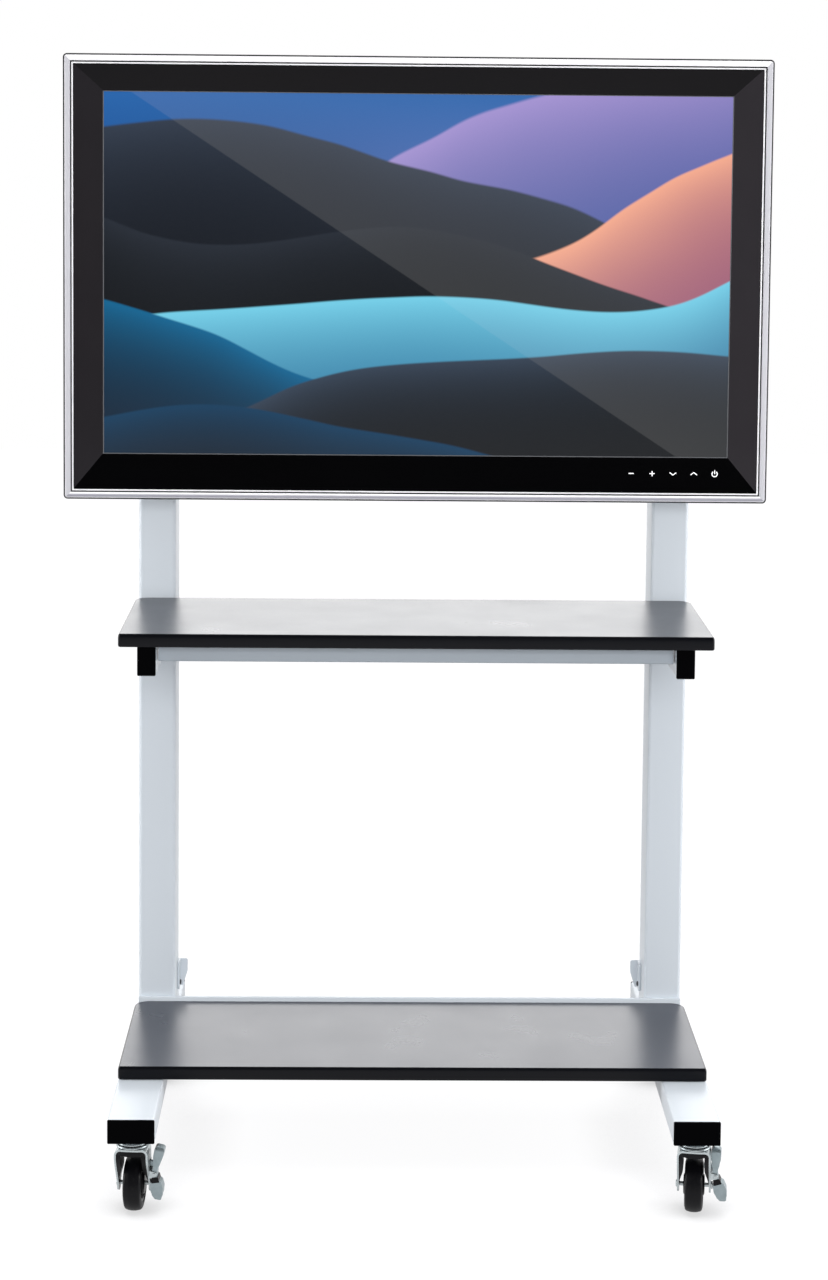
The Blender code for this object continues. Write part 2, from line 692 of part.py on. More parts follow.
def fork_mesh():
    """A stamped U with rounded shoulders, trimmed to its side view, under the lower race."""
    crown = CASTER_HEIGHT - 2 * GAP - RACE_HEIGHT - LOWER_RACE_HEIGHT
    half = FORK_WIDTH / 2
    low = WHEEL_RADIUS - FORK_TOE - FORK_SHEET
    outer_corners = (SHARP, SHARP, FORK_SHOULDER, FORK_SHOULDER)
    outer = rounded_rectangle(-half, half, low, crown, outer_corners, 4)
    inner_corners = (SHARP, SHARP, FORK_SHOULDER - FORK_SHEET, FORK_SHOULDER - FORK_SHEET)
    inner_half = half - FORK_SHEET
    inner = rounded_rectangle(-inner_half, inner_half, low - FORK_SHEET, crown - FORK_SHEET, inner_corners, 4)
    deep = CASTER_TRAIL + FORK_TOP_HALF + FORK_TOE
    block = prism(outer, "Y", -deep, deep)
    slot = prism(inner, "Y", -2 * deep, 2 * deep)
    side_view = [(-FORK_TOP_HALF, crown + FORK_SHEET), (-FORK_TOP_HALF, crown - FORK_SHOULDER)]
    side_view += arc((CASTER_TRAIL, WHEEL_RADIUS), FORK_TOE, FORK_TOE_START, FORK_TOE_END, 8)
    side_view += [(CASTER_TRAIL + FORK_TOE, crown - FORK_SHOULDER), (FORK_TOP_HALF, crown + FORK_SHEET)]
    trim = prism(side_view, "X", -2 * half, 2 * half)
    top = CASTER_HEIGHT - 2 * GAP - RACE_HEIGHT
    race_profile = (
        (RACE_DIAMETER / 2 - 2 * GAP, top),
        (RACE_DIAMETER / 2 + 2 * GAP, top - LOWER_RACE_HEIGHT / 2),
        (RACE_DIAMETER / 2 - LOWER_RACE_HEIGHT / 2, crown - FORK_SHEET / 2),
    )
    race = turned("Z", race_profile)
    bore_radius = AXLE_DIAMETER / 2 + GAP
    bore_profile = ((bore_radius, -2 * half), (bore_radius, 2 * half))
    bore = turned("X", bore_profile, (CASTER_TRAIL, WHEEL_RADIUS), BOLT_SEGMENTS)
    steps = [("DIFFERENCE", slot), ("INTERSECT", trim), ("UNION", race), ("DIFFERENCE", bore)]
    return combined(block, steps)


def brake_fork_mesh():
    """The fork with a window for the brake's nose and two ears for its pin."""
    half = FORK_WIDTH / 2
    nose = PIN_HEIGHT + NOSE_RISE
    window = box(
        (half - 2 * FORK_SHEET, half + FORK_SHEET),
        (PIN_FORWARD - NOSE_WIDTH / 2 - WINDOW_PLAY / 2, PIN_FORWARD + NOSE_WIDTH / 2 + WINDOW_PLAY / 2),
        (nose - NOSE_HEIGHT / 2 - WINDOW_PLAY, nose + NOSE_HEIGHT / 2 + WINDOW_PLAY),
    )
    steps = [("DIFFERENCE", window)]
    radius = PIN_DIAMETER / 2 + EAR_SHEET
    pin = (half + PIN_OFFSET, PIN_HEIGHT)
    outline = [(half - FORK_SHEET / 2, PIN_HEIGHT - EAR_ROOT / 2)]
    outline += arc(pin, radius, -60, 60, 5)
    outline += [(half - FORK_SHEET / 2, PIN_HEIGHT + EAR_ROOT / 2)]
    for end in (-1, 1):
        near = PIN_FORWARD + end * (PEDAL_WIDTH / 2 + EAR_GAP)
        steps.append(("UNION", prism(outline, "Y", near, near + end * EAR_SHEET)))
    bore_radius = PIN_DIAMETER / 2 + GAP
    bore_profile = ((bore_radius, -FORK_WIDTH), (bore_radius, FORK_WIDTH))
    steps.append(("DIFFERENCE", turned("Y", bore_profile, pin, BOLT_SEGMENTS)))
    return combined(fork_mesh(), steps)


def axle_mesh():
    """A headed pin through fork and hub, centred on the wheel."""
    half = FORK_WIDTH / 2 + GAP
    shank, head = AXLE_DIAMETER / 2, AXLE_HEAD / 2
    profile = (
        (head - AXLE_HEAD_EASE, -half - AXLE_HEAD_HEIGHT),
        (head, -half - AXLE_HEAD_HEIGHT / 2),
        (head, -half),
        (shank, -half),
        (shank, half),
        (head, half),
        (head, half + AXLE_HEAD_HEIGHT / 2),
        (head - AXLE_HEAD_EASE, half + AXLE_HEAD_HEIGHT),
    )
    return turned("X", profile, segments=BOLT_SEGMENTS)


def hub_mesh():
    rim = WHEEL_RADIUS - TYRE_THICKNESS - GAP
    inner_rim = rim - HUB_RIM
    boss, bore = HUB_BOSS / 2, AXLE_DIAMETER / 2 + RUNNING_GAP
    profile = [
        (bore, -HUB_WIDTH / 2),
        (boss - HUB_BOSS_EASE, -HUB_WIDTH / 2),
        (boss, -HUB_WEB / 2),
        (inner_rim, -HUB_WEB / 2),
        (inner_rim, -HUB_RIM_WIDTH / 2),
        (rim, -HUB_RIM_WIDTH / 2),
    ]
    profile += [(radius, -along) for radius, along in reversed(profile)]
    return turned("X", profile, closed=True)


def tyre_mesh():
    inside = WHEEL_RADIUS - TYRE_THICKNESS
    half = TYRE_WIDTH / 2
    profile = [
        (inside, -half + TYRE_SHOULDER / 2),
        (inside + TYRE_SHOULDER, -half),
        (WHEEL_RADIUS - TYRE_SHOULDER, -half),
        (WHEEL_RADIUS - TYRE_SHOULDER / 4, -half + TYRE_SHOULDER),
        (WHEEL_RADIUS, -half / 3),
    ]
    profile += [(radius, -along) for radius, along in reversed(profile)]
    return turned("X", profile, segments=TYRE_SEGMENTS, closed=True)


def pedal_lobe(length, lean, upward):
    """One tab's side view: a neck at the pin that widens to a round end; x outward, z up."""
    direction = Vector((math.sin(math.radians(lean)), upward * math.cos(math.radians(lean))))
    across = Vector((direction.y, -direction.x)) * upward
    end = direction * (length - PEDAL_LOBE / 2)
    points = [-across * PEDAL_NECK / 2, across * PEDAL_NECK / 2]
    for turn in range(0, 181, 45):
        swing = math.radians(turn)
        points.append(end + (across * math.cos(swing) + direction * math.sin(swing)) * PEDAL_LOBE / 2)
    return [(point.x, point.y) for point in points]


def pedal_mesh():
    """Two channel-shaped tabs joined at a barrel round the pin, and a nose that reaches the tyre."""
    half = PEDAL_WIDTH / 2
    barrel = PEDAL_NECK / 2
    body = turned("Y", ((barrel, -half), (barrel, half)), segments=BOLT_SEGMENTS)
    upper = prism(pedal_lobe(PEDAL_UPPER, PEDAL_UPPER_LEAN, 1), "Y", -half, half)
    lower = prism(pedal_lobe(PEDAL_LOWER, PEDAL_LOWER_LEAN, -1), "Y", -half, half)
    reach = FORK_WIDTH / 2 + PIN_OFFSET - TYRE_WIDTH / 2 - NOSE_GAP
    nose = box(
        (-reach, 0),
        (-NOSE_WIDTH / 2, NOSE_WIDTH / 2),
        (NOSE_RISE - NOSE_HEIGHT / 2, NOSE_RISE + NOSE_HEIGHT / 2),
    )
    steps = [("UNION", upper), ("UNION", lower)]
    for direction, length, lean in ((1, PEDAL_UPPER, PEDAL_UPPER_LEAN), (-1, PEDAL_LOWER, PEDAL_LOWER_LEAN)):
        hollow = box(
            (-PEDAL_LOBE, PEDAL_LOBE / 2 - PEDAL_SHEET),
            (-half + PEDAL_SHEET, half - PEDAL_SHEET),
            (PEDAL_LOBE, length - PEDAL_SHEET),
        )
        if direction < 0:
            hollow.transform(Matrix.Scale(-1, 4, (0, 0, 1)))
            hollow.flip_normals()
        hollow.transform(Matrix.Rotation(math.radians(lean) * direction, 4, "Y"))
        steps.append(("DIFFERENCE", hollow))
    bore_radius = PIN_DIAMETER / 2 + GAP
    bore = turned("Y", ((bore_radius, -2 * half), (bore_radius, 2 * half)), segments=BOLT_SEGMENTS)
    steps += [("UNION", nose), ("DIFFERENCE", bore)]
    return combined(body, steps)


def pin_mesh():
    half = PEDAL_WIDTH / 2 + EAR_GAP + EAR_SHEET + GAP
    shank, head = PIN_DIAMETER / 2, PIN_HEAD / 2
    profile = (
        (head, -half - PIN_HEAD_HEIGHT),
        (head, -half),
        (shank, -half),
        (shank, half),
        (head, half),
        (head, half + PIN_HEAD_HEIGHT),
    )
    return turned("Y", profile, segments=BOLT_SEGMENTS)


def casters():
    stem, plain_fork, brake_fork = caster_stem_mesh(), fork_mesh(), brake_fork_mesh()
    axle, hub, tyre = axle_mesh(), hub_mesh(), tyre_mesh()
    pedal, pin = pedal_mesh(), pin_mesh()
    axle_place = (0, CASTER_TRAIL, WHEEL_RADIUS)
    pin_place = (FORK_WIDTH / 2 + PIN_OFFSET, PIN_FORWARD, PIN_HEIGHT)
    for name, side, end, turn, has_brake, tilt in CASTERS:
        place = (*caster_place(side, end), 0)
        add_object(f"{name}_caster_stem", stem, "zinc", location=place, smooth=True)
        swivel = empty(f"{name}_swivel", place, turn=turn)
        fork = brake_fork if has_brake else plain_fork
        add_object(f"{name}_fork", fork, "zinc", swivel, smooth=True)
        add_object(f"{name}_axle", axle, "zinc", swivel, axle_place, smooth=True)
        add_object(f"{name}_hub", hub, "black_plastic", swivel, axle_place, smooth=True)
        add_object(f"{name}_tyre", tyre, "black_rubber", swivel, axle_place, smooth=True)
        if has_brake:
            add_object(f"{name}_brake_pin", pin, "zinc", swivel, pin_place, smooth=True)
            rocker = add_object(f"{name}_brake_pedal", pedal, "zinc", swivel, pin_place, smooth=True)
            rocker.rotation_euler[1] = math.radians(tilt)


clear_scene()
DISPLAY = empty("display_mount", (0, 0, 0))
feet()
posts()
base_crossbar()
post_brackets()
shelves()
shelf_arms()
shelf_apron()
mount_rails()
hook_arms()
display_trim()
display_bezel()
display_screen()
display_chassis()
display_back_cover()
display_electronics()
casters()
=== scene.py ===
"""The finished look of a rolling display stand: two shelves, four swivel casters, a display on rails.

Metres, +Z up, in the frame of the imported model. The display faces -Y.
"""
import json
import math

import bmesh
import bpy
from mathutils import Matrix, Vector


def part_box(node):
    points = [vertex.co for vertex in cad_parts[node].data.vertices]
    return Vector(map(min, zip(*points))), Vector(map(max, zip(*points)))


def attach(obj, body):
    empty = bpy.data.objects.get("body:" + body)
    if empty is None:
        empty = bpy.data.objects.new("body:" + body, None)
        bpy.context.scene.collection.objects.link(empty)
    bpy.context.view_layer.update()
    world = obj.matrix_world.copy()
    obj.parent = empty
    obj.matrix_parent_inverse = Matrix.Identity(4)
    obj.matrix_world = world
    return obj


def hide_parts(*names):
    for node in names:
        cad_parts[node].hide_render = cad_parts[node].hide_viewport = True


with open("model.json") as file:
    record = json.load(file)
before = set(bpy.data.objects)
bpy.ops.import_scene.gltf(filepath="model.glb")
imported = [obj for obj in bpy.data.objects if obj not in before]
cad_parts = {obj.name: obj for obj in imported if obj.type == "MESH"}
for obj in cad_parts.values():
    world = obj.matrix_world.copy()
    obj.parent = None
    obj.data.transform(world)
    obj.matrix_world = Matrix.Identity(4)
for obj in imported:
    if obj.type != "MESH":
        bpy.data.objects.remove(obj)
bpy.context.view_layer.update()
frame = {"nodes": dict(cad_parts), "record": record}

# Camera, from the photograph's vanishing lines
CAMERA_PLACE = (-0.0717, -4.0445, 1.4767)
CAMERA_LENS = 79.5
CAMERA_FILM = 36.0
CAMERA_YAW = 0.949
CAMERA_PITCH = 5.075
CAMERA_ROLL = 0.525
CAMERA_RISE = -0.2

# Steps round a corner, round a turned piece and along a tab of the brake pedal
CORNER_STEPS = 10
ROUND_STEPS = 64
TAB_STEPS = 30

# Tubes and caps
TUBE_WALL = 0.002
CAP_PLATE = 0.003
CAP_ROUND = 0.0010
CAP_CORNER = 0.0018
CAP_FACE_INSET = CAP_ROUND * 1.6
CAP_PLUG_DEPTH = CAP_PLATE * 3
CAP_PLUG_INSET = TUBE_WALL * 1.15
POST_CORNER = 0.005
FOOT_CORNER = 0.003
ARM_CORNER = 0.002
APRON_CORNER = 0.002
BAR_CORNER = 0.001

# Shelves
BAND_THICKNESS = 0.0025
SHELF_REAR_CORNER = 0.022
SHELF_FRONT_CORNER = 0.004
BAND_TOP_ROUND = 0.0060
BAND_BOTTOM_ROUND = 0.0025

# Display front, as insets from its outline and depths behind its front
DISPLAY_CORNER = 0.006
EDGE_BEAD = 0.0022
BAND_INSET = 0.0104
GROOVE_INSET = 0.0125
LIP_INSET = 0.0145
EDGE_DROP = 0.0012
GROOVE_DROP = 0.0022
BEZEL_GAP = 0.0003
BEZEL_STEP = 0.0015
BEZEL_SLOPE = 0.0045
BEZEL_SHEET = 0.0025
SIDE_BORDER = 0.0585
TOP_BORDER = 0.0545
BOTTOM_BORDER = 0.0675
SCREEN_LINE = 0.0012

# The bezel's small steps: its corner, the width and depth of its outer edge, and the line's rise and depth
BEZEL_CORNER = 0.001
BEZEL_EDGE = 0.0005
BEZEL_ROUND = 0.0004
LINE_RISE = 0.0002
LINE_DEPTH = 0.0008

# Touch signs on the bezel: distance between them and the place of the last one from the screen's edge
SIGN_SPACING = 0.0306
SIGN_INSET = 0.0175
SIGN_DROP = 0.0245
SIGN_SIZE = 0.0078
SIGN_STROKE = 0.0014
SIGN_HEIGHT = 0.00015

# Bolts, brackets, rails and hook arms
BOLT_RADIUS = 0.0042
BOLT_HEIGHT = 0.0022

# Head radius and height of other bolts and screws
FOOT_BOLT = (0.0065, 0.0035)
RAIL_BOLT = (0.0055, 0.0035)
HOOK_SCREW = (0.0065, 0.0030)
COVER_SCREW = (0.0038, 0.0020)

# Places of the foot's and the rail's bolts, from the post's faces and the rail's top
FOOT_BOLT_INSET = 0.015
RAIL_BOLT_INSET = 0.014
RAIL_BOLT_DROP = 0.010
BRACKET_PLATE = 0.003
BRACKET_TOE = 0.007
BRACKET_CORNER = 0.003
BRACKET_BOLT_RISE = 0.0085
RAIL_SHEET = 0.002
RAIL_LIP = 0.020
RAIL_SLOTS = 8
RAIL_SLOT_SPACING = 0.085
RAIL_SLOT_SIZE = (0.030, 0.010, 0.008)
BEND_RADIUS = 0.0008
HOOK_BAR_DEPTH = 0.008
HOOK_REST = 0.0003
HOOK_BRIDGE = 0.005
HOOK_THICKNESS = 0.005
HOOK_LENGTH = 0.012
HOOK_SLOTS = 7
HOOK_SLOT_RISE = 0.075
HOOK_SLOT_SPACING = 0.040
HOOK_SLOT_SIZE = (0.006, 0.004, 0.020)
HOOK_SCREW_INSET = 0.050

# Back of the display
TRIM_DEPTH = 0.022
COVER_START = TRIM_DEPTH + 0.0003
COVER_WALL = 0.0025
COVER_RIM_INSET = 0.003
COVER_RIM_DEPTH = 0.012
COVER_SLOPE_INSET = 0.060
COVER_SLOPE_DEPTH = 0.014
COVER_BACK_INSET = 0.085
COVER_CORNER = 0.012
COVER_BEND = 0.006
COVER_SCREW_SHARE = 0.35
VENT_INSET = 0.030
VENT_START = 0.030
VENT_WIDTH = 0.280
VENT_HEIGHT = 0.036
VENT_PITCH = 0.007
VENT_DEPTH = 0.0015
BAY_INSET = 0.020
BAY_WIDTH = 0.130
BAY_HEIGHT = 0.022
BAY_RISE = 0.095
POCKET_CORNER = 0.003
SOCKET_WALL = 0.0015

# Width and height of each socket in the bay
BAY_SOCKETS = ((0.0150, 0.0055), (0.0150, 0.0055), (0.0130, 0.0060), (0.0060, 0.0060), (0.0130, 0.0110))

# Casters, in a frame with its origin on the floor under the swivel axis and +Y the trailing direction
WHEEL_RADIUS = 0.0375
CASTER_TRAIL = 0.020
TYRE_WIDTH = 0.025
TYRE_BORE = 0.026
HUB_WIDTH = 0.029
TYRE_ROUND = 0.0042
FORK_WIDTH = 0.046
FORK_SHEET = 0.0025
FORK_SHOULDER = 0.009
FORK_TOP_HALF = 0.021
FORK_TOE = 0.0105
FORK_CROWN = 0.0974
RACE_RADIUS = 0.0215
RACE_TOP = 0.1097
RACE_SPLIT = 0.1018
LIP_ROLL = 0.0014
LIP_RISE = 0.0018
STEM_RADIUS = 0.005
STEM_TOP = 0.1337
AXLE_RADIUS = 0.003
NUT_ACROSS = 0.010
NUT_HEIGHT = 0.0024
HUB_DISC = 0.0150
HUB_ROUND = 0.0030
# The dark lining inside the fork: the height where it ends, its thickness beside the wheel and under the
# crown, and its inset from the fork's edges
LINING_END = 0.041
LINING_SIDE = 0.0060
LINING_TOP = 0.0076
LINING_INSET = 0.0006

# Brake: places and half widths in the pedal's side view, from the pin
PIN_PLACE = (0.029, 0.012, 0.056)
PIN_RADIUS = 0.0015
PIN_HEAD = 0.0024
PEDAL_UPPER = 0.0395
PEDAL_LOWER = 0.038
PEDAL_UPPER_LEAN = 2.0
PEDAL_LOWER_LEAN = 18.0
PEDAL_BARREL = 0.0035
UPPER_TAB = (0.0032, 0.0034, 0.0052, 0.0066, 0.0068)
UPPER_TIP = 0.0060
LOWER_TAB = (0.0032, 0.0036, 0.0084, 0.0092, 0.0078, 0.0050)
LOWER_TIP = 0.0028
LOWER_INNER = 0.92
SLEEVE = (0.0045, 0.0125)
SLEEVE_HALF = 0.0046
SLEEVE_FLARE = 1.25
SLEEVE_CORNER = 0.0012
NOSE_RISE = 0.012
NOSE_GAP = 0.0008
NOSE_HALF_HIGH = 0.003
NOSE_HALF_WIDE = 0.0035
WINDOW_WIDTH = 0.011
WINDOW_HEIGHT = 0.014
WINDOW_CORNER = 0.0015
EAR_ROOT = 0.0105
EAR_RADIUS = 0.0035
PEDAL_WIDTH = 0.018
EAR_SHEET = 0.002
EAR_GAP = 0.0006

# How far a pressed pedal tilts, in degrees
PEDAL_STROKE = 10.0

# Caster name, turn about the vertical, brake pedal's tilt or None
CASTERS = (
    ("front_left", -4.0, PEDAL_STROKE),
    ("front_right", -8.5, 0.0),
    ("rear_left", 172.0, None),
    ("rear_right", -166.0, None),
)


def rgb(red, green, blue, alpha=1.0):
    """A colour from 0 to 255 values as seen on a screen."""
    def linear(value):
        value /= 255
        return value / 12.92 if value <= 0.04045 else ((value + 0.055) / 1.055) ** 2.4
    return linear(red), linear(green), linear(blue), alpha


# Light and ground
WORLD_LIGHT = 0.42
WORLD_FRONT = 0.14

# Lamp name, place, point it faces, width, height, power in watts, whether shiny surfaces show it
LAMPS = (
    ("front_fill", (0.3, -3.0, 1.3), (0, 0, 1.15), 2.4, 1.4, 70, False),
    ("left_box", (-3.4, -0.2, 1.5), (0, 0, 0.9), 1.6, 2.6, 92, True),
    ("right_box", (3.4, -0.2, 1.5), (0, 0, 0.9), 1.6, 2.6, 92, True),
    ("top_box", (0.0, -0.6, 4.2), (0, 0, 0.6), 3.0, 2.4, 22, True),
    ("back_box", (0.0, 4.6, 1.2), (0, 0, 0.7), 5.0, 2.2, 21, True),
    ("high_back_box", (0.0, 9.0, 3.8), (0, 0, 0.3), 9.0, 3.0, 185, True),
)
FLOOR_REACH = 9.0
FLOOR_COLOUR = rgb(104, 104, 107)
FLOOR_WHITE = 0.92

# The floor's contact shade: its reach, how dark it gets, and the openness at which it starts and ends
FLOOR_CONTACT = 0.16
FLOOR_CONTACT_SHADE = 0.66
FLOOR_OPEN = (0.40, 0.85)

# Colour of faces that lie in the fork's or the pedal's own shade
INNER_DARK = rgb(24, 25, 30)

# Painted shade on the frame's band: how far it goes from bright to a shaded lavender grey, on each side, and
# across the bottom in steps that run from bead to groove
TRIM_BRIGHT = rgb(250, 250, 252)
TRIM_SHADE_LAVENDER = rgb(156, 155, 166)
TRIM_SIDE_SHADE = {"left": 0.62, "right": 0.62, "top": 0.0}
TRIM_BOTTOM_SHADE = (0.1, 0.75, 1.0, 1.0, 0.9, 0.5, 0.0, 0.0)

# Painted reflection: how far each face of the bezel goes from black towards the reflected grey of its sides,
# as it does in a studio's light
BEZEL_BLACK = rgb(2, 2, 3)
BEZEL_REFLECTION_GREY = rgb(52, 49, 53)
BEZEL_FACE_REFLECTIONS = {"left": 0.48, "right": 0.74, "top": 0.16, "bottom": 0.0}

# Distance of the bumps on painted, moulded and plated surfaces
BUMP_DEPTH = 0.0002

# Ribbons from back to front: offset, slope, swing, wave, phase, softness, fade, rim colour, deep colour
RIBBONS = (
    (0.62, 0.30, 0.16, 1.30, 0.4, 0.012, 0.50, rgb(168, 150, 214), rgb(44, 84, 156)),
    (0.46, -0.16, 0.20, 1.15, 2.2, 0.010, 0.30, rgb(52, 62, 78), rgb(12, 16, 24)),
    (0.24, 0.22, 0.22, 1.40, 4.0, 0.010, 0.34, rgb(252, 176, 146), rgb(150, 84, 120)),
    (0.08, -0.22, 0.18, 1.50, 0.9, 0.008, 0.22, rgb(38, 44, 54), rgb(6, 9, 13)),
    (-0.16, 0.20, 0.22, 1.25, 3.1, 0.008, 0.36, rgb(120, 212, 238), rgb(0, 92, 144)),
    (-0.46, -0.14, 0.16, 1.60, 5.2, 0.008, 0.22, rgb(10, 104, 150), rgb(2, 26, 46)),
    (-0.62, 0.16, 0.14, 1.45, 1.4, 0.008, 0.16, rgb(54, 68, 86), rgb(6, 9, 13)),
    (-0.92, -0.10, 0.10, 1.80, 2.8, 0.008, 0.20, rgb(8, 62, 96), rgb(2, 8, 14)),
)
SCREEN_BRIGHTNESS = 0.95
# Painted reflection on the screen: where the slanting line of a glare starts, its slope, and how much it
# lightens
PAINTED_GLARE_START = (-0.656, 0.388)
PAINTED_GLARE_SLOPE = -0.6586
PAINTED_GLARE_LIGHT = 0.035


# Camera, light and ground

def make_camera():
    yaw, pitch, roll = (math.radians(angle) for angle in (CAMERA_YAW, CAMERA_PITCH, CAMERA_ROLL))
    forward = Vector((math.sin(yaw) * math.cos(pitch), math.cos(yaw) * math.cos(pitch), -math.sin(pitch)))
    right = Vector((math.cos(yaw), -math.sin(yaw), 0))
    up = right.cross(forward)
    across = right * math.cos(roll) + up * math.sin(roll)
    rise = up * math.cos(roll) - right * math.sin(roll)
    data = bpy.data.cameras.new("camera")
    data.lens = CAMERA_LENS
    data.sensor_width = CAMERA_FILM
    data.shift_y = CAMERA_RISE
    data.clip_end = 100
    camera = bpy.data.objects.new("camera", data)
    turn = Matrix((across, rise, -forward)).transposed().to_4x4()
    camera.matrix_world = Matrix.Translation(CAMERA_PLACE) @ turn
    bpy.context.scene.collection.objects.link(camera)
    bpy.context.scene.camera = camera


class Wiring:
    """Adds nodes to one node tree and joins their sockets."""

    def __init__(self, tree):
        self.tree = tree

    def feed(self, socket, value):
        if isinstance(value, bpy.types.NodeSocket):
            self.tree.links.new(value, socket)
        else:
            socket.default_value = value

    def node(self, kind, inputs=None, **settings):
        node = self.tree.nodes.new(kind)
        for name, value in settings.items():
            setattr(node, name, value)
        for key, value in (inputs or {}).items():
            self.feed(node.inputs[key], value)
        return node

    def math(self, operation, *values, clamp=False):
        inputs = dict(enumerate(values))
        return self.node("ShaderNodeMath", inputs, operation=operation, use_clamp=clamp).outputs[0]

    def mix(self, factor, first, second):
        return self.node("ShaderNodeMix", {0: factor, 6: first, 7: second}, data_type="RGBA").outputs[2]

    def scaled(self, colour, factor):
        return self.node("ShaderNodeVectorMath", {0: colour, "Scale": factor}, operation="SCALE").outputs[0]

    def span(self, value, low, high, start=0.0, end=1.0, smooth=False):
        kind = "SMOOTHSTEP" if smooth else "LINEAR"
        inputs = {0: value, 1: low, 2: high, 3: start, 4: end}
        return self.node("ShaderNodeMapRange", inputs, interpolation_type=kind).outputs[0]

    def noise(self, vector, scale, detail=3.0, roughness=0.5, distortion=0.0):
        inputs = {"Vector": vector, "Scale": scale, "Detail": detail, "Roughness": roughness}
        inputs["Distortion"] = distortion
        return self.node("ShaderNodeTexNoise", inputs).outputs[0]

    def group(self, tree, inputs):
        return self.node("ShaderNodeGroup", inputs, node_tree=tree).outputs


def make_world():
    """White behind the object for the camera and for reflections; a plain soft light for the rest."""
    world = bpy.data.worlds.new("studio")
    world.use_nodes = True
    bpy.context.scene.world = world
    wires = Wiring(world.node_tree)
    background = world.node_tree.nodes["Background"]
    background.inputs["Color"].default_value = (1, 1, 1, 1)
    place = wires.node("ShaderNodeTexCoord").outputs["Generated"]
    depth = wires.node("ShaderNodeSeparateXYZ", {0: place})
    behind = wires.span(depth.outputs[1], -0.15, 0.35, smooth=True)
    rays = wires.node("ShaderNodeLightPath").outputs
    shiny = wires.math("MAXIMUM", rays["Is Glossy Ray"], rays["Is Transmission Ray"])
    mirrored = wires.span(behind, 0, 1, WORLD_FRONT, 1.0)
    strength = wires.span(shiny, 0, 1, WORLD_LIGHT, mirrored)
    wires.feed(background.inputs["Strength"], wires.span(rays["Is Camera Ray"], 0, 1, strength, 1.0))


def make_lamps():
    for name, place, target, width, height, power, shown in LAMPS:
        data = bpy.data.lights.new(name, "AREA")
        data.shape = "RECTANGLE"
        data.size = width
        data.size_y = height
        data.energy = power
        lamp = bpy.data.objects.new(name, data)
        lamp.location = place
        direction = Vector(target) - Vector(place)
        lamp.rotation_euler = direction.to_track_quat("-Z", "Y").to_euler()
        lamp.visible_camera = False
        lamp.visible_glossy = shown
        bpy.context.scene.collection.objects.link(lamp)


def make_floor():
    """A pale floor that looks white where it is lit and keeps the stand's soft shadow."""
    mesh = bpy.data.meshes.new("floor")
    reach = FLOOR_REACH
    corners = [(-reach, -reach, 0), (reach, -reach, 0), (reach, reach, 0), (-reach, reach, 0)]
    mesh.from_pydata(corners, [], [(0, 1, 2, 3)])
    floor = bpy.data.objects.new("floor", mesh)
    bpy.context.scene.collection.objects.link(floor)
    material = bpy.data.materials.new("floor_white")
    material.use_nodes = True
    wires = Wiring(material.node_tree)
    shader = material.node_tree.nodes["Principled BSDF"]
    shader.inputs["Base Color"].default_value = FLOOR_COLOUR
    shader.inputs["Roughness"].default_value = 0.9
    shader.inputs["Specular IOR Level"].default_value = 0.0
    shader.inputs["Emission Color"].default_value = (1, 1, 1, 1)
    rays = wires.node("ShaderNodeLightPath").outputs
    shiny = wires.math("MAXIMUM", rays["Is Glossy Ray"], rays["Is Transmission Ray"])
    seen = wires.math("MAXIMUM", rays["Is Camera Ray"], shiny)
    near = wires.node("ShaderNodeAmbientOcclusion", {"Distance": FLOOR_CONTACT}, samples=12).outputs["AO"]
    open_sky = wires.span(near, *FLOOR_OPEN, FLOOR_CONTACT_SHADE, 1.0, smooth=True)
    glow = wires.math("MULTIPLY", open_sky, FLOOR_WHITE)
    wires.feed(shader.inputs["Emission Strength"], wires.math("MULTIPLY", seen, glow))
    mesh.materials.append(material)


# Shared effects

def new_group(name, inputs, outputs):
    """A shader group with named sockets; an input is a name, a kind and a starting value."""
    tree = bpy.data.node_groups.new(name, "ShaderNodeTree")
    for label, kind, start in inputs:
        socket = tree.interface.new_socket(label, in_out="INPUT", socket_type="NodeSocket" + kind)
        if start is not None:
            socket.default_value = start
    for label, kind in outputs:
        tree.interface.new_socket(label, in_out="OUTPUT", socket_type="NodeSocket" + kind)
    wires = Wiring(tree)
    return wires, wires.node("NodeGroupInput").outputs, wires.node("NodeGroupOutput").inputs


def make_surface_grain():
    """Fine bumps and a slow change of tone, as on sprayed or moulded surfaces."""
    inputs = (
        ("Vector", "Vector", None),
        ("Colour", "Color", (0.8, 0.8, 0.8, 1)),
        ("Roughness", "Float", 0.4),
        ("Grain Scale", "Float", 900.0),
        ("Mottle Scale", "Float", 6.0),
        ("Mottle", "Float", 0.04),
        ("Roughness Change", "Float", 0.06),
    )
    outputs = (("Colour", "Color"), ("Roughness", "Float"), ("Height", "Float"))
    wires, given, out = new_group("Surface Grain", inputs, outputs)
    slow = wires.noise(given["Vector"], given["Mottle Scale"], 4.0, 0.6)
    fine = wires.noise(given["Vector"], given["Grain Scale"], 2.0, 0.5)
    swing = wires.math("SUBTRACT", slow, 0.5)
    gain = wires.math("MULTIPLY_ADD", swing, given["Mottle"], 1.0)
    wires.feed(out["Colour"], wires.scaled(given["Colour"], gain))
    rough = wires.math("MULTIPLY_ADD", swing, given["Roughness Change"], given["Roughness"])
    wires.feed(out["Roughness"], rough)
    wires.feed(out["Height"], fine)
    return wires.tree


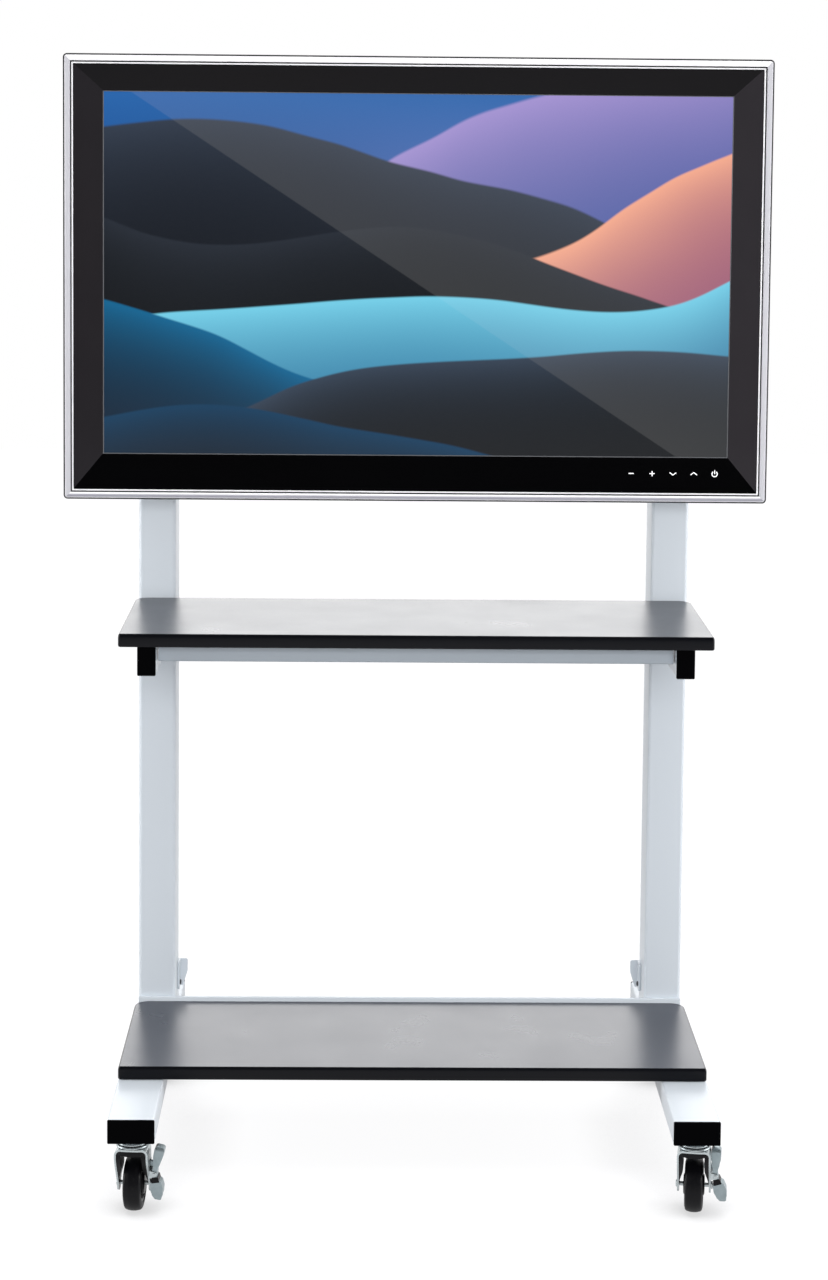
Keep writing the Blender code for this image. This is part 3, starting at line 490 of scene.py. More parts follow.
def make_edge_wear():
    """A mask that is bright on outer edges and broken up by noise."""
    inputs = (
        ("Vector", "Vector", None),
        ("Width", "Float", 0.001),
        ("Breakup Scale", "Float", 120.0),
        ("Amount", "Float", 0.5),
    )
    wires, given, out = new_group("Edge Wear", inputs, (("Mask", "Float"),))
    rounded = wires.node("ShaderNodeBevel", {"Radius": given["Width"]}, samples=4)
    plain = wires.node("ShaderNodeNewGeometry").outputs["Normal"]
    turn = wires.node("ShaderNodeVectorMath", {0: rounded.outputs[0], 1: plain}, operation="DOT_PRODUCT")
    edge = wires.span(turn.outputs["Value"], 0.98, 0.80)
    patches = wires.span(wires.noise(given["Vector"], given["Breakup Scale"], 3.0), 0.35, 0.65)
    worn = wires.math("MULTIPLY", edge, patches)
    wires.feed(out["Mask"], wires.math("MULTIPLY", worn, given["Amount"], clamp=True))
    return wires.tree


def make_streaks():
    """Short fibres that run one way, for laminate and for rolled steel."""
    inputs = (
        ("Vector", "Vector", None),
        ("Stretch", "Vector", (1.0, 8.0, 8.0)),
        ("Scale", "Float", 60.0),
        ("Contrast", "Float", 0.5),
    )
    wires, given, out = new_group("Streaks", inputs, (("Tone", "Float"), ("Height", "Float")))
    stretch = {0: given["Vector"], 1: given["Stretch"]}
    drawn = wires.node("ShaderNodeVectorMath", stretch, operation="MULTIPLY").outputs[0]
    coarse = wires.noise(drawn, given["Scale"], 4.0, 0.7)
    fine = wires.noise(drawn, wires.math("MULTIPLY", given["Scale"], 5.0), 2.0, 0.6)
    both = wires.math("MULTIPLY_ADD", fine, 0.4, wires.math("MULTIPLY", coarse, 0.6))
    swing = wires.math("MULTIPLY", wires.math("SUBTRACT", both, 0.5), given["Contrast"])
    wires.feed(out["Tone"], wires.math("ADD", swing, 1.0))
    wires.feed(out["Height"], both)
    return wires.tree


def make_ribbon():
    """One wave of the screen's picture: a mask below its line, and a glow that fades away from the line."""
    inputs = (
        ("Across", "Float", 0.0),
        ("Up", "Float", 0.0),
        ("Offset", "Float", 0.0),
        ("Slope", "Float", 0.0),
        ("Swing", "Float", 0.2),
        ("Wave", "Float", 2.0),
        ("Phase", "Float", 0.0),
        ("Softness", "Float", 0.01),
        ("Fade", "Float", 0.3),
    )
    wires, given, out = new_group("Ribbon", inputs, (("Mask", "Float"), ("Glow", "Float")))
    angle = wires.math("MULTIPLY_ADD", given["Across"], given["Wave"], given["Phase"])
    wave = wires.math("MULTIPLY", wires.math("SINE", angle), given["Swing"])
    second = wires.math("SINE", wires.math("MULTIPLY", angle, 2.3))
    second = wires.math("MULTIPLY", wires.math("MULTIPLY", second, given["Swing"]), 0.22)
    rise = wires.math("MULTIPLY_ADD", given["Across"], given["Slope"], given["Offset"])
    line = wires.math("ADD", rise, wires.math("ADD", wave, second))
    below = wires.math("SUBTRACT", line, given["Up"])
    minus = wires.math("MULTIPLY", given["Softness"], -1.0)
    wires.feed(out["Mask"], wires.span(below, minus, given["Softness"], smooth=True))
    fall = wires.math("DIVIDE", wires.math("MAXIMUM", below, 0.0), given["Fade"])
    wires.feed(out["Glow"], wires.math("EXPONENT", wires.math("MULTIPLY", fall, -1.0)))
    return wires.tree


SURFACE_GRAIN = make_surface_grain()
EDGE_WEAR = make_edge_wear()
STREAKS = make_streaks()
RIBBON = make_ribbon()


# Finishes

def new_finish(name, metallic=0.0, **sockets):
    """A material with its shader; the sockets given are the same all over the surface."""
    material = bpy.data.materials.new(name)
    material.use_nodes = True
    shader = material.node_tree.nodes["Principled BSDF"]
    shader.inputs["Metallic"].default_value = metallic
    for label, value in sockets.items():
        shader.inputs[label.replace("_", " ")].default_value = value
    wires = Wiring(material.node_tree)
    return material, wires, shader, wires.node("ShaderNodeTexCoord").outputs["Object"]


def add_bumps(wires, shader, height, strength, depth=BUMP_DEPTH):
    bumps = wires.node("ShaderNodeBump", {"Height": height, "Strength": strength, "Distance": depth})
    wires.feed(shader.inputs["Normal"], bumps.outputs[0])


def grained(wires, shader, place, colour, roughness, grain, bump, mottle=0.04, change=0.06, mottle_scale=6.0):
    """Feeds colour, roughness and bump from the surface grain; returns the colour's socket."""
    given = {"Vector": place, "Colour": colour, "Roughness": roughness, "Grain Scale": grain}
    given.update({"Mottle Scale": mottle_scale, "Mottle": mottle, "Roughness Change": change})
    grain_out = wires.group(SURFACE_GRAIN, given)
    wires.feed(shader.inputs["Base Color"], grain_out["Colour"])
    wires.feed(shader.inputs["Roughness"], grain_out["Roughness"])
    add_bumps(wires, shader, grain_out["Height"], bump)
    return grain_out["Colour"]


def plain_finish(name, colour, roughness, grain, bump, mottle=0.04, change=0.06, **sockets):
    """A finish with the surface grain and nothing else."""
    material, wires, shader, place = new_finish(name, **sockets)
    grained(wires, shader, place, colour, roughness, grain, bump, mottle, change)
    return material


def worn_finish(name, metallic, grain, wear, worn_colour):
    """A grained finish whose outer edges show another colour; wear is its width, breakup and amount."""
    material, wires, shader, place = new_finish(name, metallic)
    colour = grained(wires, shader, place, *grain)
    given = dict(zip(("Width", "Breakup Scale", "Amount"), wear), Vector=place)
    worn = wires.group(EDGE_WEAR, given)
    wires.feed(shader.inputs["Base Color"], wires.mix(worn["Mask"], colour, worn_colour))
    return material


def silver_paint():
    return plain_finish("silver_paint", rgb(206, 213, 220), 0.36, 1100.0, 0.12, 0.03, IOR=1.45)


def grey_paint():
    return plain_finish("grey_paint", rgb(158, 166, 174), 0.42, 1100.0, 0.12, IOR=1.45)


def gloss_black():
    look = {"IOR": 1.45, "Specular_IOR_Level": 0.02}
    return plain_finish("gloss_black", rgb(2, 2, 3), 0.17, 300.0, 0.03, 0.2, 0.08, **look)


def laminate():
    """Graphite laminate with a fine grain along the shelf."""
    material, wires, shader, place = new_finish("laminate", IOR=1.5, Specular_IOR_Level=0.32)
    grain = {"Vector": place, "Stretch": (1.0, 9.0, 9.0), "Scale": 130.0, "Contrast": 0.9}
    streaks = wires.group(STREAKS, grain)
    speckle = wires.noise(place, 1400.0, 2.0, 0.6)
    fleck = wires.span(speckle, 0.30, 0.70, 0.80, 1.22)
    tone = wires.math("MULTIPLY", streaks["Tone"], fleck)
    wires.feed(shader.inputs["Base Color"], wires.scaled(rgb(50, 54, 65)[:3], tone))
    slow = wires.noise(place, 9.0, 3.0)
    wires.feed(shader.inputs["Roughness"], wires.span(slow, 0.2, 0.8, 0.26, 0.32))
    add_bumps(wires, shader, wires.math("MULTIPLY_ADD", speckle, 0.5, streaks["Height"]), 0.35, 0.00015)
    return material


def edging():
    return plain_finish("edging", rgb(6, 7, 12), 0.30, 900.0, 0.2, 0.2, Specular_IOR_Level=0.16)


def zinc_plate(name, colour, worn_colour, rough):
    """Zinc plate with faint crystals, lighter worn edges and shaded inner faces."""
    material, wires, shader, place = new_finish(name, 0.85)
    cells = wires.node("ShaderNodeTexVoronoi", {"Vector": place, "Scale": 260.0}).outputs["Color"]
    tint = wires.math("MULTIPLY_ADD", cells, 0.10, 0.95)
    tinted = wires.scaled(colour[:3], tint)
    worn = wires.group(EDGE_WEAR, {"Vector": place, "Width": 0.0012, "Breakup Scale": 160.0, "Amount": 0.6})
    tinted = wires.mix(worn["Mask"], tinted, worn_colour)
    inner = wires.node("ShaderNodeAttribute", attribute_name="inner_shade").outputs["Fac"]
    wires.feed(shader.inputs["Base Color"], wires.mix(inner, tinted, INNER_DARK))
    slow = wires.noise(place, 90.0, 3.0)
    wires.feed(shader.inputs["Roughness"], wires.span(slow, 0.3, 0.7, rough, rough + 0.12))
    add_bumps(wires, shader, wires.noise(place, 700.0), 0.12)
    return material


def zinc():
    return zinc_plate("zinc", rgb(184, 192, 194), rgb(226, 230, 231), 0.24)


def dull_zinc():
    return zinc_plate("dull_zinc", rgb(150, 162, 166), rgb(214, 220, 222), 0.34)


def dark_bolt():
    """Blackened steel with bright worn edges."""
    grain = (rgb(70, 71, 75), 0.38, 1400.0, 0.15, 0.15)
    return worn_finish("dark_bolt", 0.6, grain, (0.0006, 200.0, 0.4), rgb(150, 150, 154))


def rail_steel():
    """Black coated steel with thin worn edges."""
    grain = (rgb(38, 38, 41), 0.45, 1200.0, 0.3, 0.12)
    return worn_finish("rail_steel", 0.2, grain, (0.0010, 90.0, 0.35), rgb(120, 120, 124))


def core_plastic():
    return plain_finish("core_plastic", rgb(9, 9, 12), 0.34, 1300.0, 0.25, 0.15, Specular_IOR_Level=0.16)


def tread():
    """Dark rubber with scuffs on the rolling face."""
    material, wires, shader, place = new_finish("tread", Specular_IOR_Level=0.16)
    colour = grained(wires, shader, place, rgb(9, 9, 12), 0.45, 900.0, 0.4, mottle=0.25, mottle_scale=40.0)
    scuff = wires.span(wires.noise(place, 220.0, 4.0, 0.7), 0.55, 0.80, 0.0, 0.25)
    wires.feed(shader.inputs["Base Color"], wires.mix(scuff, colour, rgb(46, 44, 43)))
    return material


def painted_face_tone(wires, first, second):
    """A colour between two, as far along as each face's stored share of painted shade and reflection says."""
    shade = wires.node("ShaderNodeAttribute", attribute_name="painted_face_share").outputs["Fac"]
    return wires.mix(shade, first, second)


def trim_silver():
    """Silver lacquer with painted shade, from bright towards lavender grey where its faces turn from the
    light.
    """
    material, wires, shader, place = new_finish("trim_silver", IOR=1.5, Specular_IOR_Level=0.3)
    tone = painted_face_tone(wires, TRIM_BRIGHT, TRIM_SHADE_LAVENDER)
    grained(wires, shader, place, tone, 0.28, 1500.0, 0.04, mottle=0.02)
    return material


def trim_dark():
    return plain_finish("trim_dark", rgb(34, 32, 36), 0.30, 1500.0, 0.05, 0.10, metallic=0.3)


def piano_black():
    """High-gloss black moulding with faint polish marks, and painted reflections that turn its side faces
    grey.
    """
    material, wires, shader, place = new_finish("piano_black", IOR=1.45, Specular_IOR_Level=0.12)
    tone = painted_face_tone(wires, BEZEL_BLACK, BEZEL_REFLECTION_GREY)
    grained(wires, shader, place, tone, 0.12, 240.0, 0.02, mottle=0.15, change=0.10, mottle_scale=12.0)
    return material


def screen_picture():
    """A lit screen with a plain picture of soft waves, and a painted reflection: a lighter half above a
    slanting line.
    """
    material, wires, shader, place = new_finish("screen_picture", 0.0, Roughness=0.18, IOR=1.45)
    low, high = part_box("display_screen")
    half = (high.z - low.z) / 2
    middle = (low + high) / 2
    centred = wires.node("ShaderNodeMapping", {"Vector": place, "Location": (0, 0, -middle.z / half)})
    centred.inputs["Scale"].default_value = (1 / half, 1 / half, 1 / half)
    parts = wires.node("ShaderNodeSeparateXYZ", {0: centred.outputs[0]}).outputs
    drift = wires.noise(centred.outputs[0], 0.8, 2.0)
    across = wires.math("MULTIPLY_ADD", wires.math("SUBTRACT", drift, 0.5), 0.5, parts[0])
    up = parts[2]
    sky = wires.mix(wires.span(across, -1.7, 1.7, smooth=True), rgb(16, 60, 124), rgb(120, 140, 214))
    picture = wires.mix(wires.span(up, 0.2, 1.0), sky, rgb(40, 104, 176))
    for offset, slope, swing, wave, phase, softness, fade, rim, deep in RIBBONS:
        given = {"Across": across, "Up": up, "Offset": offset, "Slope": slope, "Swing": swing, "Wave": wave}
        given.update({"Phase": phase, "Softness": softness, "Fade": fade})
        ribbon = wires.group(RIBBON, given)
        shade = wires.mix(ribbon["Glow"], deep, rim)
        picture = wires.mix(ribbon["Mask"], picture, shade)
    # Painted glare: the picture is lighter above the slanting line, less so farther from it
    from_start = wires.math("SUBTRACT", parts[0], PAINTED_GLARE_START[0])
    line = wires.math("MULTIPLY_ADD", from_start, PAINTED_GLARE_SLOPE, PAINTED_GLARE_START[1])
    above = wires.math("SUBTRACT", up, line)
    edge = wires.span(above, -0.004, 0.004)
    fading = wires.span(above, 0.0, 1.6, PAINTED_GLARE_LIGHT, PAINTED_GLARE_LIGHT * 0.3)
    picture = wires.mix(wires.math("MULTIPLY", edge, fading), picture, (1, 1, 1, 1))
    shader.inputs["Base Color"].default_value = rgb(6, 7, 9)
    wires.feed(shader.inputs["Emission Color"], picture)
    shader.inputs["Emission Strength"].default_value = SCREEN_BRIGHTNESS
    return material


def sign_white():
    # The signs' slight glow is painted light that makes them read white
    glow = {"Emission_Color": (1, 1, 1, 1), "Emission_Strength": 0.5}
    return plain_finish("sign_white", rgb(236, 238, 240), 0.5, 2000.0, 0.02, 0.05, **glow)


def back_plastic():
    return plain_finish("back_plastic", rgb(28, 28, 30), 0.50, 1600.0, 0.5, 0.10)


def backlight():
    return plain_finish("backlight", rgb(168, 172, 176), 0.40, 500.0, 0.2, metallic=0.8)


def circuit_board():
    material, wires, shader, place = new_finish("circuit_board", 0.0)
    cells = wires.node("ShaderNodeTexVoronoi", {"Vector": place, "Scale": 220.0}, feature="DISTANCE_TO_EDGE")
    mask = wires.span(cells.outputs[0], 0.04, 0.08)
    wires.feed(shader.inputs["Base Color"], wires.mix(mask, rgb(60, 130, 70), rgb(20, 82, 44)))
    wires.feed(shader.inputs["Roughness"], wires.span(wires.noise(place, 50.0), 0.3, 0.7, 0.40, 0.55))
    return material


def grey_plastic():
    return plain_finish("grey_plastic", rgb(92, 94, 98), 0.5, 1200.0, 0.3)


FINISH_MAKERS = {
    "silver_paint": silver_paint,
    "grey_paint": grey_paint,
    "gloss_black": gloss_black,
    "laminate": laminate,
    "edging": edging,
    "zinc": zinc,
    "dull_zinc": dull_zinc,
    "dark_bolt": dark_bolt,
    "rail_steel": rail_steel,
    "core_plastic": core_plastic,
    "tread": tread,
    "trim_silver": trim_silver,
    "trim_dark": trim_dark,
    "piano_black": piano_black,
    "screen": screen_picture,
    "sign_white": sign_white,
    "back_plastic": back_plastic,
    "backlight": backlight,
    "circuit_board": circuit_board,
    "grey_plastic": grey_plastic,
}
FINISH = {}


def dress_nodes():
    """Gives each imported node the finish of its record's slot."""
    slots = {entry["node"]: entry["material_slot"] for entry in frame["record"]["subparts"]}
    for name, node in frame["nodes"].items():
        for place in node.material_slots:
            place.material = FINISH[slots[name]]


# Mesh tools

def mesh_from(shape):
    bmesh.ops.remove_doubles(shape, verts=shape.verts, dist=1e-7)
    bmesh.ops.recalc_face_normals(shape, faces=shape.faces)
    mesh = bpy.data.meshes.new("shape")
    shape.to_mesh(mesh)
    shape.free()
    return mesh


def loft(rings, closed=False):
    """Skins a row of loops with equal point counts, then caps its ends or joins them into a ring."""
    shape = bmesh.new()
    loops = [[shape.verts.new(point) for point in ring] for ring in rings]
    pairs = list(zip(loops, loops[1:]))
    if closed:
        pairs.append((loops[-1], loops[0]))
    else:
        shape.faces.new(loops[0])
        shape.faces.new(loops[-1])
    for near, far in pairs:
        for i in range(len(near)):
            j = (i + 1) % len(near)
            shape.faces.new((near[i], near[j], far[j], far[i]))
    return mesh_from(shape)


def on_axis(axis, along, u, v):
    """A point at a place along an axis; u and v are the other two coordinates in X, Y, Z order."""
    return {"X": (along, u, v), "Y": (u, along, v), "Z": (u, v, along)}[axis]


def arc(centre, radius, start, end, steps):
    angles = [math.radians(start + (end - start) * i / steps) for i in range(steps + 1)]
    return [(centre[0] + radius * math.cos(a), centre[1] + radius * math.sin(a)) for a in angles]


def rounded_rectangle(left, right, bottom, top, corners, steps=CORNER_STEPS):
    """Corner radii run from the lower left corner, anticlockwise; one number serves all four."""
    if not isinstance(corners, tuple):
        corners = (corners,) * 4
    places = ((left, bottom, 1, 1), (right, bottom, -1, 1), (right, top, -1, -1), (left, top, 1, -1))
    points = []
    for (x, y, inward_x, inward_y), radius, start in zip(places, corners, (180, 270, 0, 90)):
        centre = (x + inward_x * radius, y + inward_y * radius)
        points += arc(centre, radius, start, start + 90, steps)
    return points


def prism(outline, axis, start, end):
    """Extrudes an outline of (u, v) points along an axis."""
    return loft([[on_axis(axis, along, u, v) for u, v in outline] for along in (start, end)])


def turned(axis, profile, centre=(0, 0), steps=ROUND_STEPS, closed=False):
    """Turns (radius, along) points about an axis; a closed profile leaves a bore."""
    u, v = centre
    turns = [2 * math.pi * i / steps for i in range(steps)]
    rings = [[on_axis(axis, along, u + radius * math.cos(t), v + radius * math.sin(t)) for t in turns]
             for radius, along in profile]
    return loft(rings, closed)


def swings(start, end, step):
    """Angles in radians at whole degrees."""
    return [math.radians(angle) for angle in range(start, end, step)]


def mirrored(profile):
    """A turned profile and its mirror image along the axis."""
    return profile + [(radius, -along) for radius, along in reversed(profile)]


def piece(name, mesh, body, finish, stands_for=(), slot=None, soften=0.0, smooth_angle=35.0, steps=2):
    """Makes a mesh a finished piece that rides on a body and stands for CAD nodes."""
    item = bpy.data.objects.new(name, mesh)
    bpy.context.scene.collection.objects.link(item)
    mesh.materials.clear()
    mesh.materials.append(FINISH[finish])
    mesh.shade_smooth()
    mesh.set_sharp_from_angle(angle=math.radians(smooth_angle))
    if soften:
        bevel = item.modifiers.new("soften", "BEVEL")
        bevel.width = soften
        bevel.segments = steps
        bevel.limit_method = "ANGLE"
        bevel.angle_limit = math.radians(smooth_angle)
        bevel.harden_normals = True
    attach(item, body)
    if stands_for:
        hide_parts(*stands_for)
    return item


def combined(base, others):
    """The base mesh after a row of Boolean steps, each an (operation, mesh) pair."""
    body = bpy.data.objects.new("body", base)
    bpy.context.scene.collection.objects.link(body)
    tools = []
    for operation, mesh in others:
        tool = bpy.data.objects.new("tool", mesh)
        bpy.context.scene.collection.objects.link(tool)
        step = body.modifiers.new("step", "BOOLEAN")
        step.operation = operation
        step.solver = "EXACT"
        step.object = tool
        tools.append(tool)
    result = applied(body)
    for tool in tools:
        bpy.data.objects.remove(tool, do_unlink=True)
    return result


# Frame: tubes, caps, crossbar, brackets

def tube_ring(axis, low, high, along, inset, corner):
    """One loop round a tube: its box's outline set in by a distance, at a place along its axis."""
    u, v = [i for i in range(3) if i != "XYZ".index(axis)]
    radius = max(corner - inset, TUBE_WALL / 4)
    outline = rounded_rectangle(low[u] + inset, high[u] - inset, low[v] + inset, high[v] - inset, radius)
    return [on_axis(axis, along, a, b) for a, b in outline]


def tube_between(axis, low, high, corner):
    """An open tube that fills a box, with rounded mouths."""
    index = "XYZ".index(axis)
    ease = TUBE_WALL / 4
    stations = (
        (low[index] + ease, 0), (high[index] - ease, 0), (high[index], ease),
        (high[index], TUBE_WALL), (low[index], TUBE_WALL), (low[index], ease),
    )
    rings = [tube_ring(axis, low, high, along, inset, corner) for along, inset in stations]
    return loft(rings, closed=True)


def cap_between(axis, low, high, mouth, outer, corner):
    """A push-in cap on the mouth of the tube in a box: a plate with a soft outer edge and a plug."""
    outward = 1 if outer > mouth else -1
    seat = outer - outward * CAP_PLATE
    stations = [(outer, CAP_FACE_INSET)]
    for swing in swings(0, 91, 18):
        along = outer - outward * CAP_ROUND * (1 - math.cos(swing))
        stations.append((along, CAP_ROUND * (1 - math.sin(swing))))
    stations += [(seat, 0), (seat, CAP_PLUG_INSET), (mouth - outward * CAP_PLUG_DEPTH, CAP_PLUG_INSET)]
    return loft([tube_ring(axis, low, high, along, inset, corner) for along, inset in stations])


def frame_tube(node, piece_name, axis, corner, finish="silver_paint"):
    """The tube that stands for a node of the frame; returns its box."""
    low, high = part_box(node)
    piece(piece_name, tube_between(axis, low, high, corner), "frame", finish, [node])
    return low, high


def frame_cap(node, axis, tube, end, corner):
    """A cap on a tube's low end, 0, or its high end, 1."""
    index = "XYZ".index(axis)
    cap = cap_between(axis, *tube, tube[end][index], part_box(node)[end][index], corner)
    piece(node + "_moulding", cap, "frame", "gloss_black", [node])


def feet():
    for side in ("left", "right"):
        tube = frame_tube(f"{side}_foot", f"{side}_foot_tube", "Y", FOOT_CORNER)
        frame_cap(f"{side}_front_foot_cap", "Y", tube, 0, CAP_CORNER)
        frame_cap(f"{side}_rear_foot_cap", "Y", tube, 1, CAP_CORNER)


def posts():
    for side in ("left", "right"):
        tube = frame_tube(f"{side}_post", f"{side}_post_tube", "Z", POST_CORNER)
        frame_cap(f"{side}_post_cap", "Z", tube, 1, POST_CORNER)


def crossbar():
    low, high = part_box("base_crossbar")
    bar = prism(rounded_rectangle(low.y, high.y, low.z, high.z, BAR_CORNER, 4), "X", low.x, high.x)
    piece("crossbar_flat", bar, "frame", "silver_paint", ["base_crossbar"], soften=0.0006)


def arms():
    for side in ("left", "right"):
        tube = frame_tube(f"{side}_shelf_arm", f"{side}_arm_tube", "Y", ARM_CORNER)
        frame_cap(f"{side}_arm_cap", "Y", tube, 0, ARM_CORNER)


def apron():
    frame_tube("shelf_apron", "apron_tube", "X", APRON_CORNER, "grey_paint")


# Shelves

def shelf_ring(low, high, inset, z):
    front = max(SHELF_FRONT_CORNER - inset, SHELF_FRONT_CORNER / 8)
    rear = max(SHELF_REAR_CORNER - inset, SHELF_REAR_CORNER / 8)
    corners = (front, front, rear, rear)
    outline = rounded_rectangle(low.x + inset, high.x - inset, low.y + inset, high.y - inset, corners)
    return [(x, y, z) for x, y in outline]


def shelves():
    for name in ("upper_shelf", "lower_shelf"):
        low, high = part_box(f"{name}_edge_band")
        board = loft([shelf_ring(low, high, BAND_THICKNESS, z) for z in (low.z, high.z)])
        piece(f"{name}_panel", board, "frame", "laminate", [f"{name}_board"])
        profile = [(BAND_THICKNESS, high.z)]
        for swing in swings(15, 91, 15):
            inset = BAND_THICKNESS * (1 - math.sin(swing))
            profile.append((inset, high.z - BAND_TOP_ROUND * (1 - math.cos(swing))))
        for swing in swings(0, 91, 30):
            inset = BAND_THICKNESS * (1 - math.cos(swing))
            profile.append((inset, low.z + BAND_BOTTOM_ROUND * (1 - math.sin(swing))))
        band = loft([shelf_ring(low, high, inset, z) for inset, z in profile], closed=True)
        piece(f"{name}_lipping", band, "frame", "edging", [f"{name}_edge_band"])


# Display front

def display_ring(inset, depth, corner=DISPLAY_CORNER):
    low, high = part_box("display_trim")
    radius = max(corner - inset, DISPLAY_CORNER / 8)
    outline = rounded_rectangle(low.x + inset, high.x - inset, low.z + inset, high.z - inset, radius)
    return [(x, low.y + depth, z) for x, z in outline]


def display_frame():
    """The trim: a dark outer bead, a silver band, a dark groove and a silver inner lip."""
    low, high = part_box("display_trim")
    deep = high.y - low.y

    def part(name, profile, finish, stands_for=()):
        mesh = loft([display_ring(inset, depth) for inset, depth in profile], closed=True)
        # The band's faces get their share of painted shade
        if name == "display_frame_band":
            shade_frame_band(mesh)
        piece(name, mesh, "display", finish, stands_for, slot="trim_silver")

    part("display_edge_bead", [
        (EDGE_BEAD, deep), (0, deep), (0, EDGE_DROP * 2), (EDGE_BEAD * 0.3, EDGE_DROP),
        (EDGE_BEAD, EDGE_DROP),
    ], "trim_dark", ["display_trim"])
    band = [(BAND_INSET, deep), (EDGE_BEAD, deep)]
    for share in [step / 8 for step in range(9)]:
        band.append((EDGE_BEAD + (BAND_INSET - EDGE_BEAD) * share, EDGE_DROP * (2 * share - 1) ** 4))
    part("display_frame_band", band, "trim_silver")
    part("display_frame_groove", [
        (GROOVE_INSET, deep), (BAND_INSET, deep), (BAND_INSET, GROOVE_DROP), (GROOVE_INSET, GROOVE_DROP),
    ], "trim_dark")
    part("display_inner_lip", [
        (LIP_INSET, deep), (GROOVE_INSET, deep), (GROOVE_INSET, EDGE_DROP),
        ((GROOVE_INSET + LIP_INSET) / 2, EDGE_DROP / 2), (LIP_INSET, EDGE_DROP),
    ], "trim_silver")


def shade_frame_band(mesh):
    """Stores each face's share of painted shade, between bright and lavender."""
    low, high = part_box("display_trim")
    shade = mesh.attributes.new("painted_face_share", "FLOAT", "FACE")
    for face in mesh.polygons:
        x, z = face.center.x, face.center.z
        reach = {"left": x - low.x, "right": high.x - x, "bottom": z - low.z, "top": high.z - z}
        side = min(reach, key=reach.get)
        if side == "bottom":
            share = (reach[side] - EDGE_BEAD) / (BAND_INSET - EDGE_BEAD)
            step = min(max(int(share * len(TRIM_BOTTOM_SHADE)), 0), len(TRIM_BOTTOM_SHADE) - 1)
            shade.data[face.index].value = TRIM_BOTTOM_SHADE[step]
        else:
            shade.data[face.index].value = TRIM_SIDE_SHADE[side]


def screen_edges():
    """The picture's left, right, bottom and top edges."""
    low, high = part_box("display_trim")
    return low.x + SIDE_BORDER, high.x - SIDE_BORDER, low.z + BOTTOM_BORDER, high.z - TOP_BORDER


def screen_ring(grow, depth, corner=0.0006):
    left, right, bottom, top = screen_edges()
    outline = rounded_rectangle(left - grow, right + grow, bottom - grow, top + grow, corner)
    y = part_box("display_trim")[0].y + depth
    return [(x, y, z) for x, z in outline]


def shade_bezel_faces(mesh):
    """Stores a painted reflection grey for each face by the side of the display that it lies on."""
    left, right, bottom, top = screen_edges()
    shade = mesh.attributes.new("painted_face_share", "FLOAT", "FACE")
    for face in mesh.polygons:
        x, z = face.center.x, face.center.z
        reach = {"left": left - x, "right": x - right, "bottom": bottom - z, "top": z - top}
        shade.data[face.index].value = BEZEL_FACE_REFLECTIONS[max(reach, key=reach.get)]


def bezel():
    """The black surround: four faces that slope to the screen and meet at mitres."""
    edge = LIP_INSET + BEZEL_GAP
    deep = BEZEL_STEP + BEZEL_SLOPE
    mesh = loft([
        display_ring(edge, BEZEL_STEP + BEZEL_SHEET, BEZEL_CORNER),
        display_ring(edge, BEZEL_STEP + BEZEL_ROUND, BEZEL_CORNER),
        display_ring(edge + BEZEL_EDGE, BEZEL_STEP, BEZEL_CORNER),
        screen_ring(SCREEN_LINE + BEZEL_ROUND, deep - LINE_RISE),
        screen_ring(SCREEN_LINE, deep),
        screen_ring(SCREEN_LINE, deep + BEZEL_SHEET),
    ], closed=True)
    # Each face gets its painted reflection grey
    shade_bezel_faces(mesh)
    looks = {"slot": "gloss_black", "smooth_angle": 2.0}
    piece("bezel_moulding", mesh, "display", "piano_black", ["display_bezel"], **looks)
    line = [
        screen_ring(SCREEN_LINE, deep + BEZEL_SHEET),
        screen_ring(SCREEN_LINE, deep + LINE_RISE),
        screen_ring(0.0002, deep + LINE_DEPTH),
        screen_ring(0, deep + BEZEL_SHEET),
    ]
    piece("screen_surround_line", loft(line, closed=True), "display", "grey_plastic")


def screen():
    low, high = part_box("display_screen")
    outline = [(low.x, low.z), (high.x, low.z), (high.x, high.z), (low.x, high.z)]
    piece("screen_glass", prism(outline, "Y", low.y, high.y), "display", "screen", ["display_screen"])


def sign_bar(left, right, bottom, top):
    return rounded_rectangle(left, right, bottom, top, SIGN_STROKE * 0.4, 3)


def stroke_path(points, thick):
    """The outline of an open stroke of even thickness through (u, v) points."""
    left, right = [], []
    for i, point in enumerate(points):
        before = Vector(points[max(i - 1, 0)])
        after = Vector(points[min(i + 1, len(points) - 1)])
        along = (after - before).normalized()
        normal = Vector((-along.y, along.x)) * thick / 2
        left.append(tuple(Vector(point) + normal))
        right.append(tuple(Vector(point) - normal))
    return left + right[::-1]


def sign_outlines(sign, u, v):
    """The strokes of one sign about its centre."""
    half, thick = SIGN_SIZE / 2, SIGN_STROKE / 2
    across = sign_bar(u - half, u + half, v - thick, v + thick)
    if sign == "minus":
        return [across]
    if sign == "plus":
        return [across, sign_bar(u - thick, u + thick, v - half, v + half)]
    if sign == "power":
        ring = arc((u, v), SIGN_SIZE * 0.5, 125, 415, 20)
        return [stroke_path(ring, SIGN_STROKE), sign_bar(u - thick, u + thick, v, v + SIGN_SIZE * 0.7)]
    tip = -1 if sign == "down" else 1
    foot = v - tip * SIGN_SIZE * 0.2
    knee = [(u - SIGN_SIZE * 0.6, foot), (u, v + tip * SIGN_SIZE * 0.25), (u + SIGN_SIZE * 0.6, foot)]
    return [stroke_path(knee, SIGN_STROKE)]


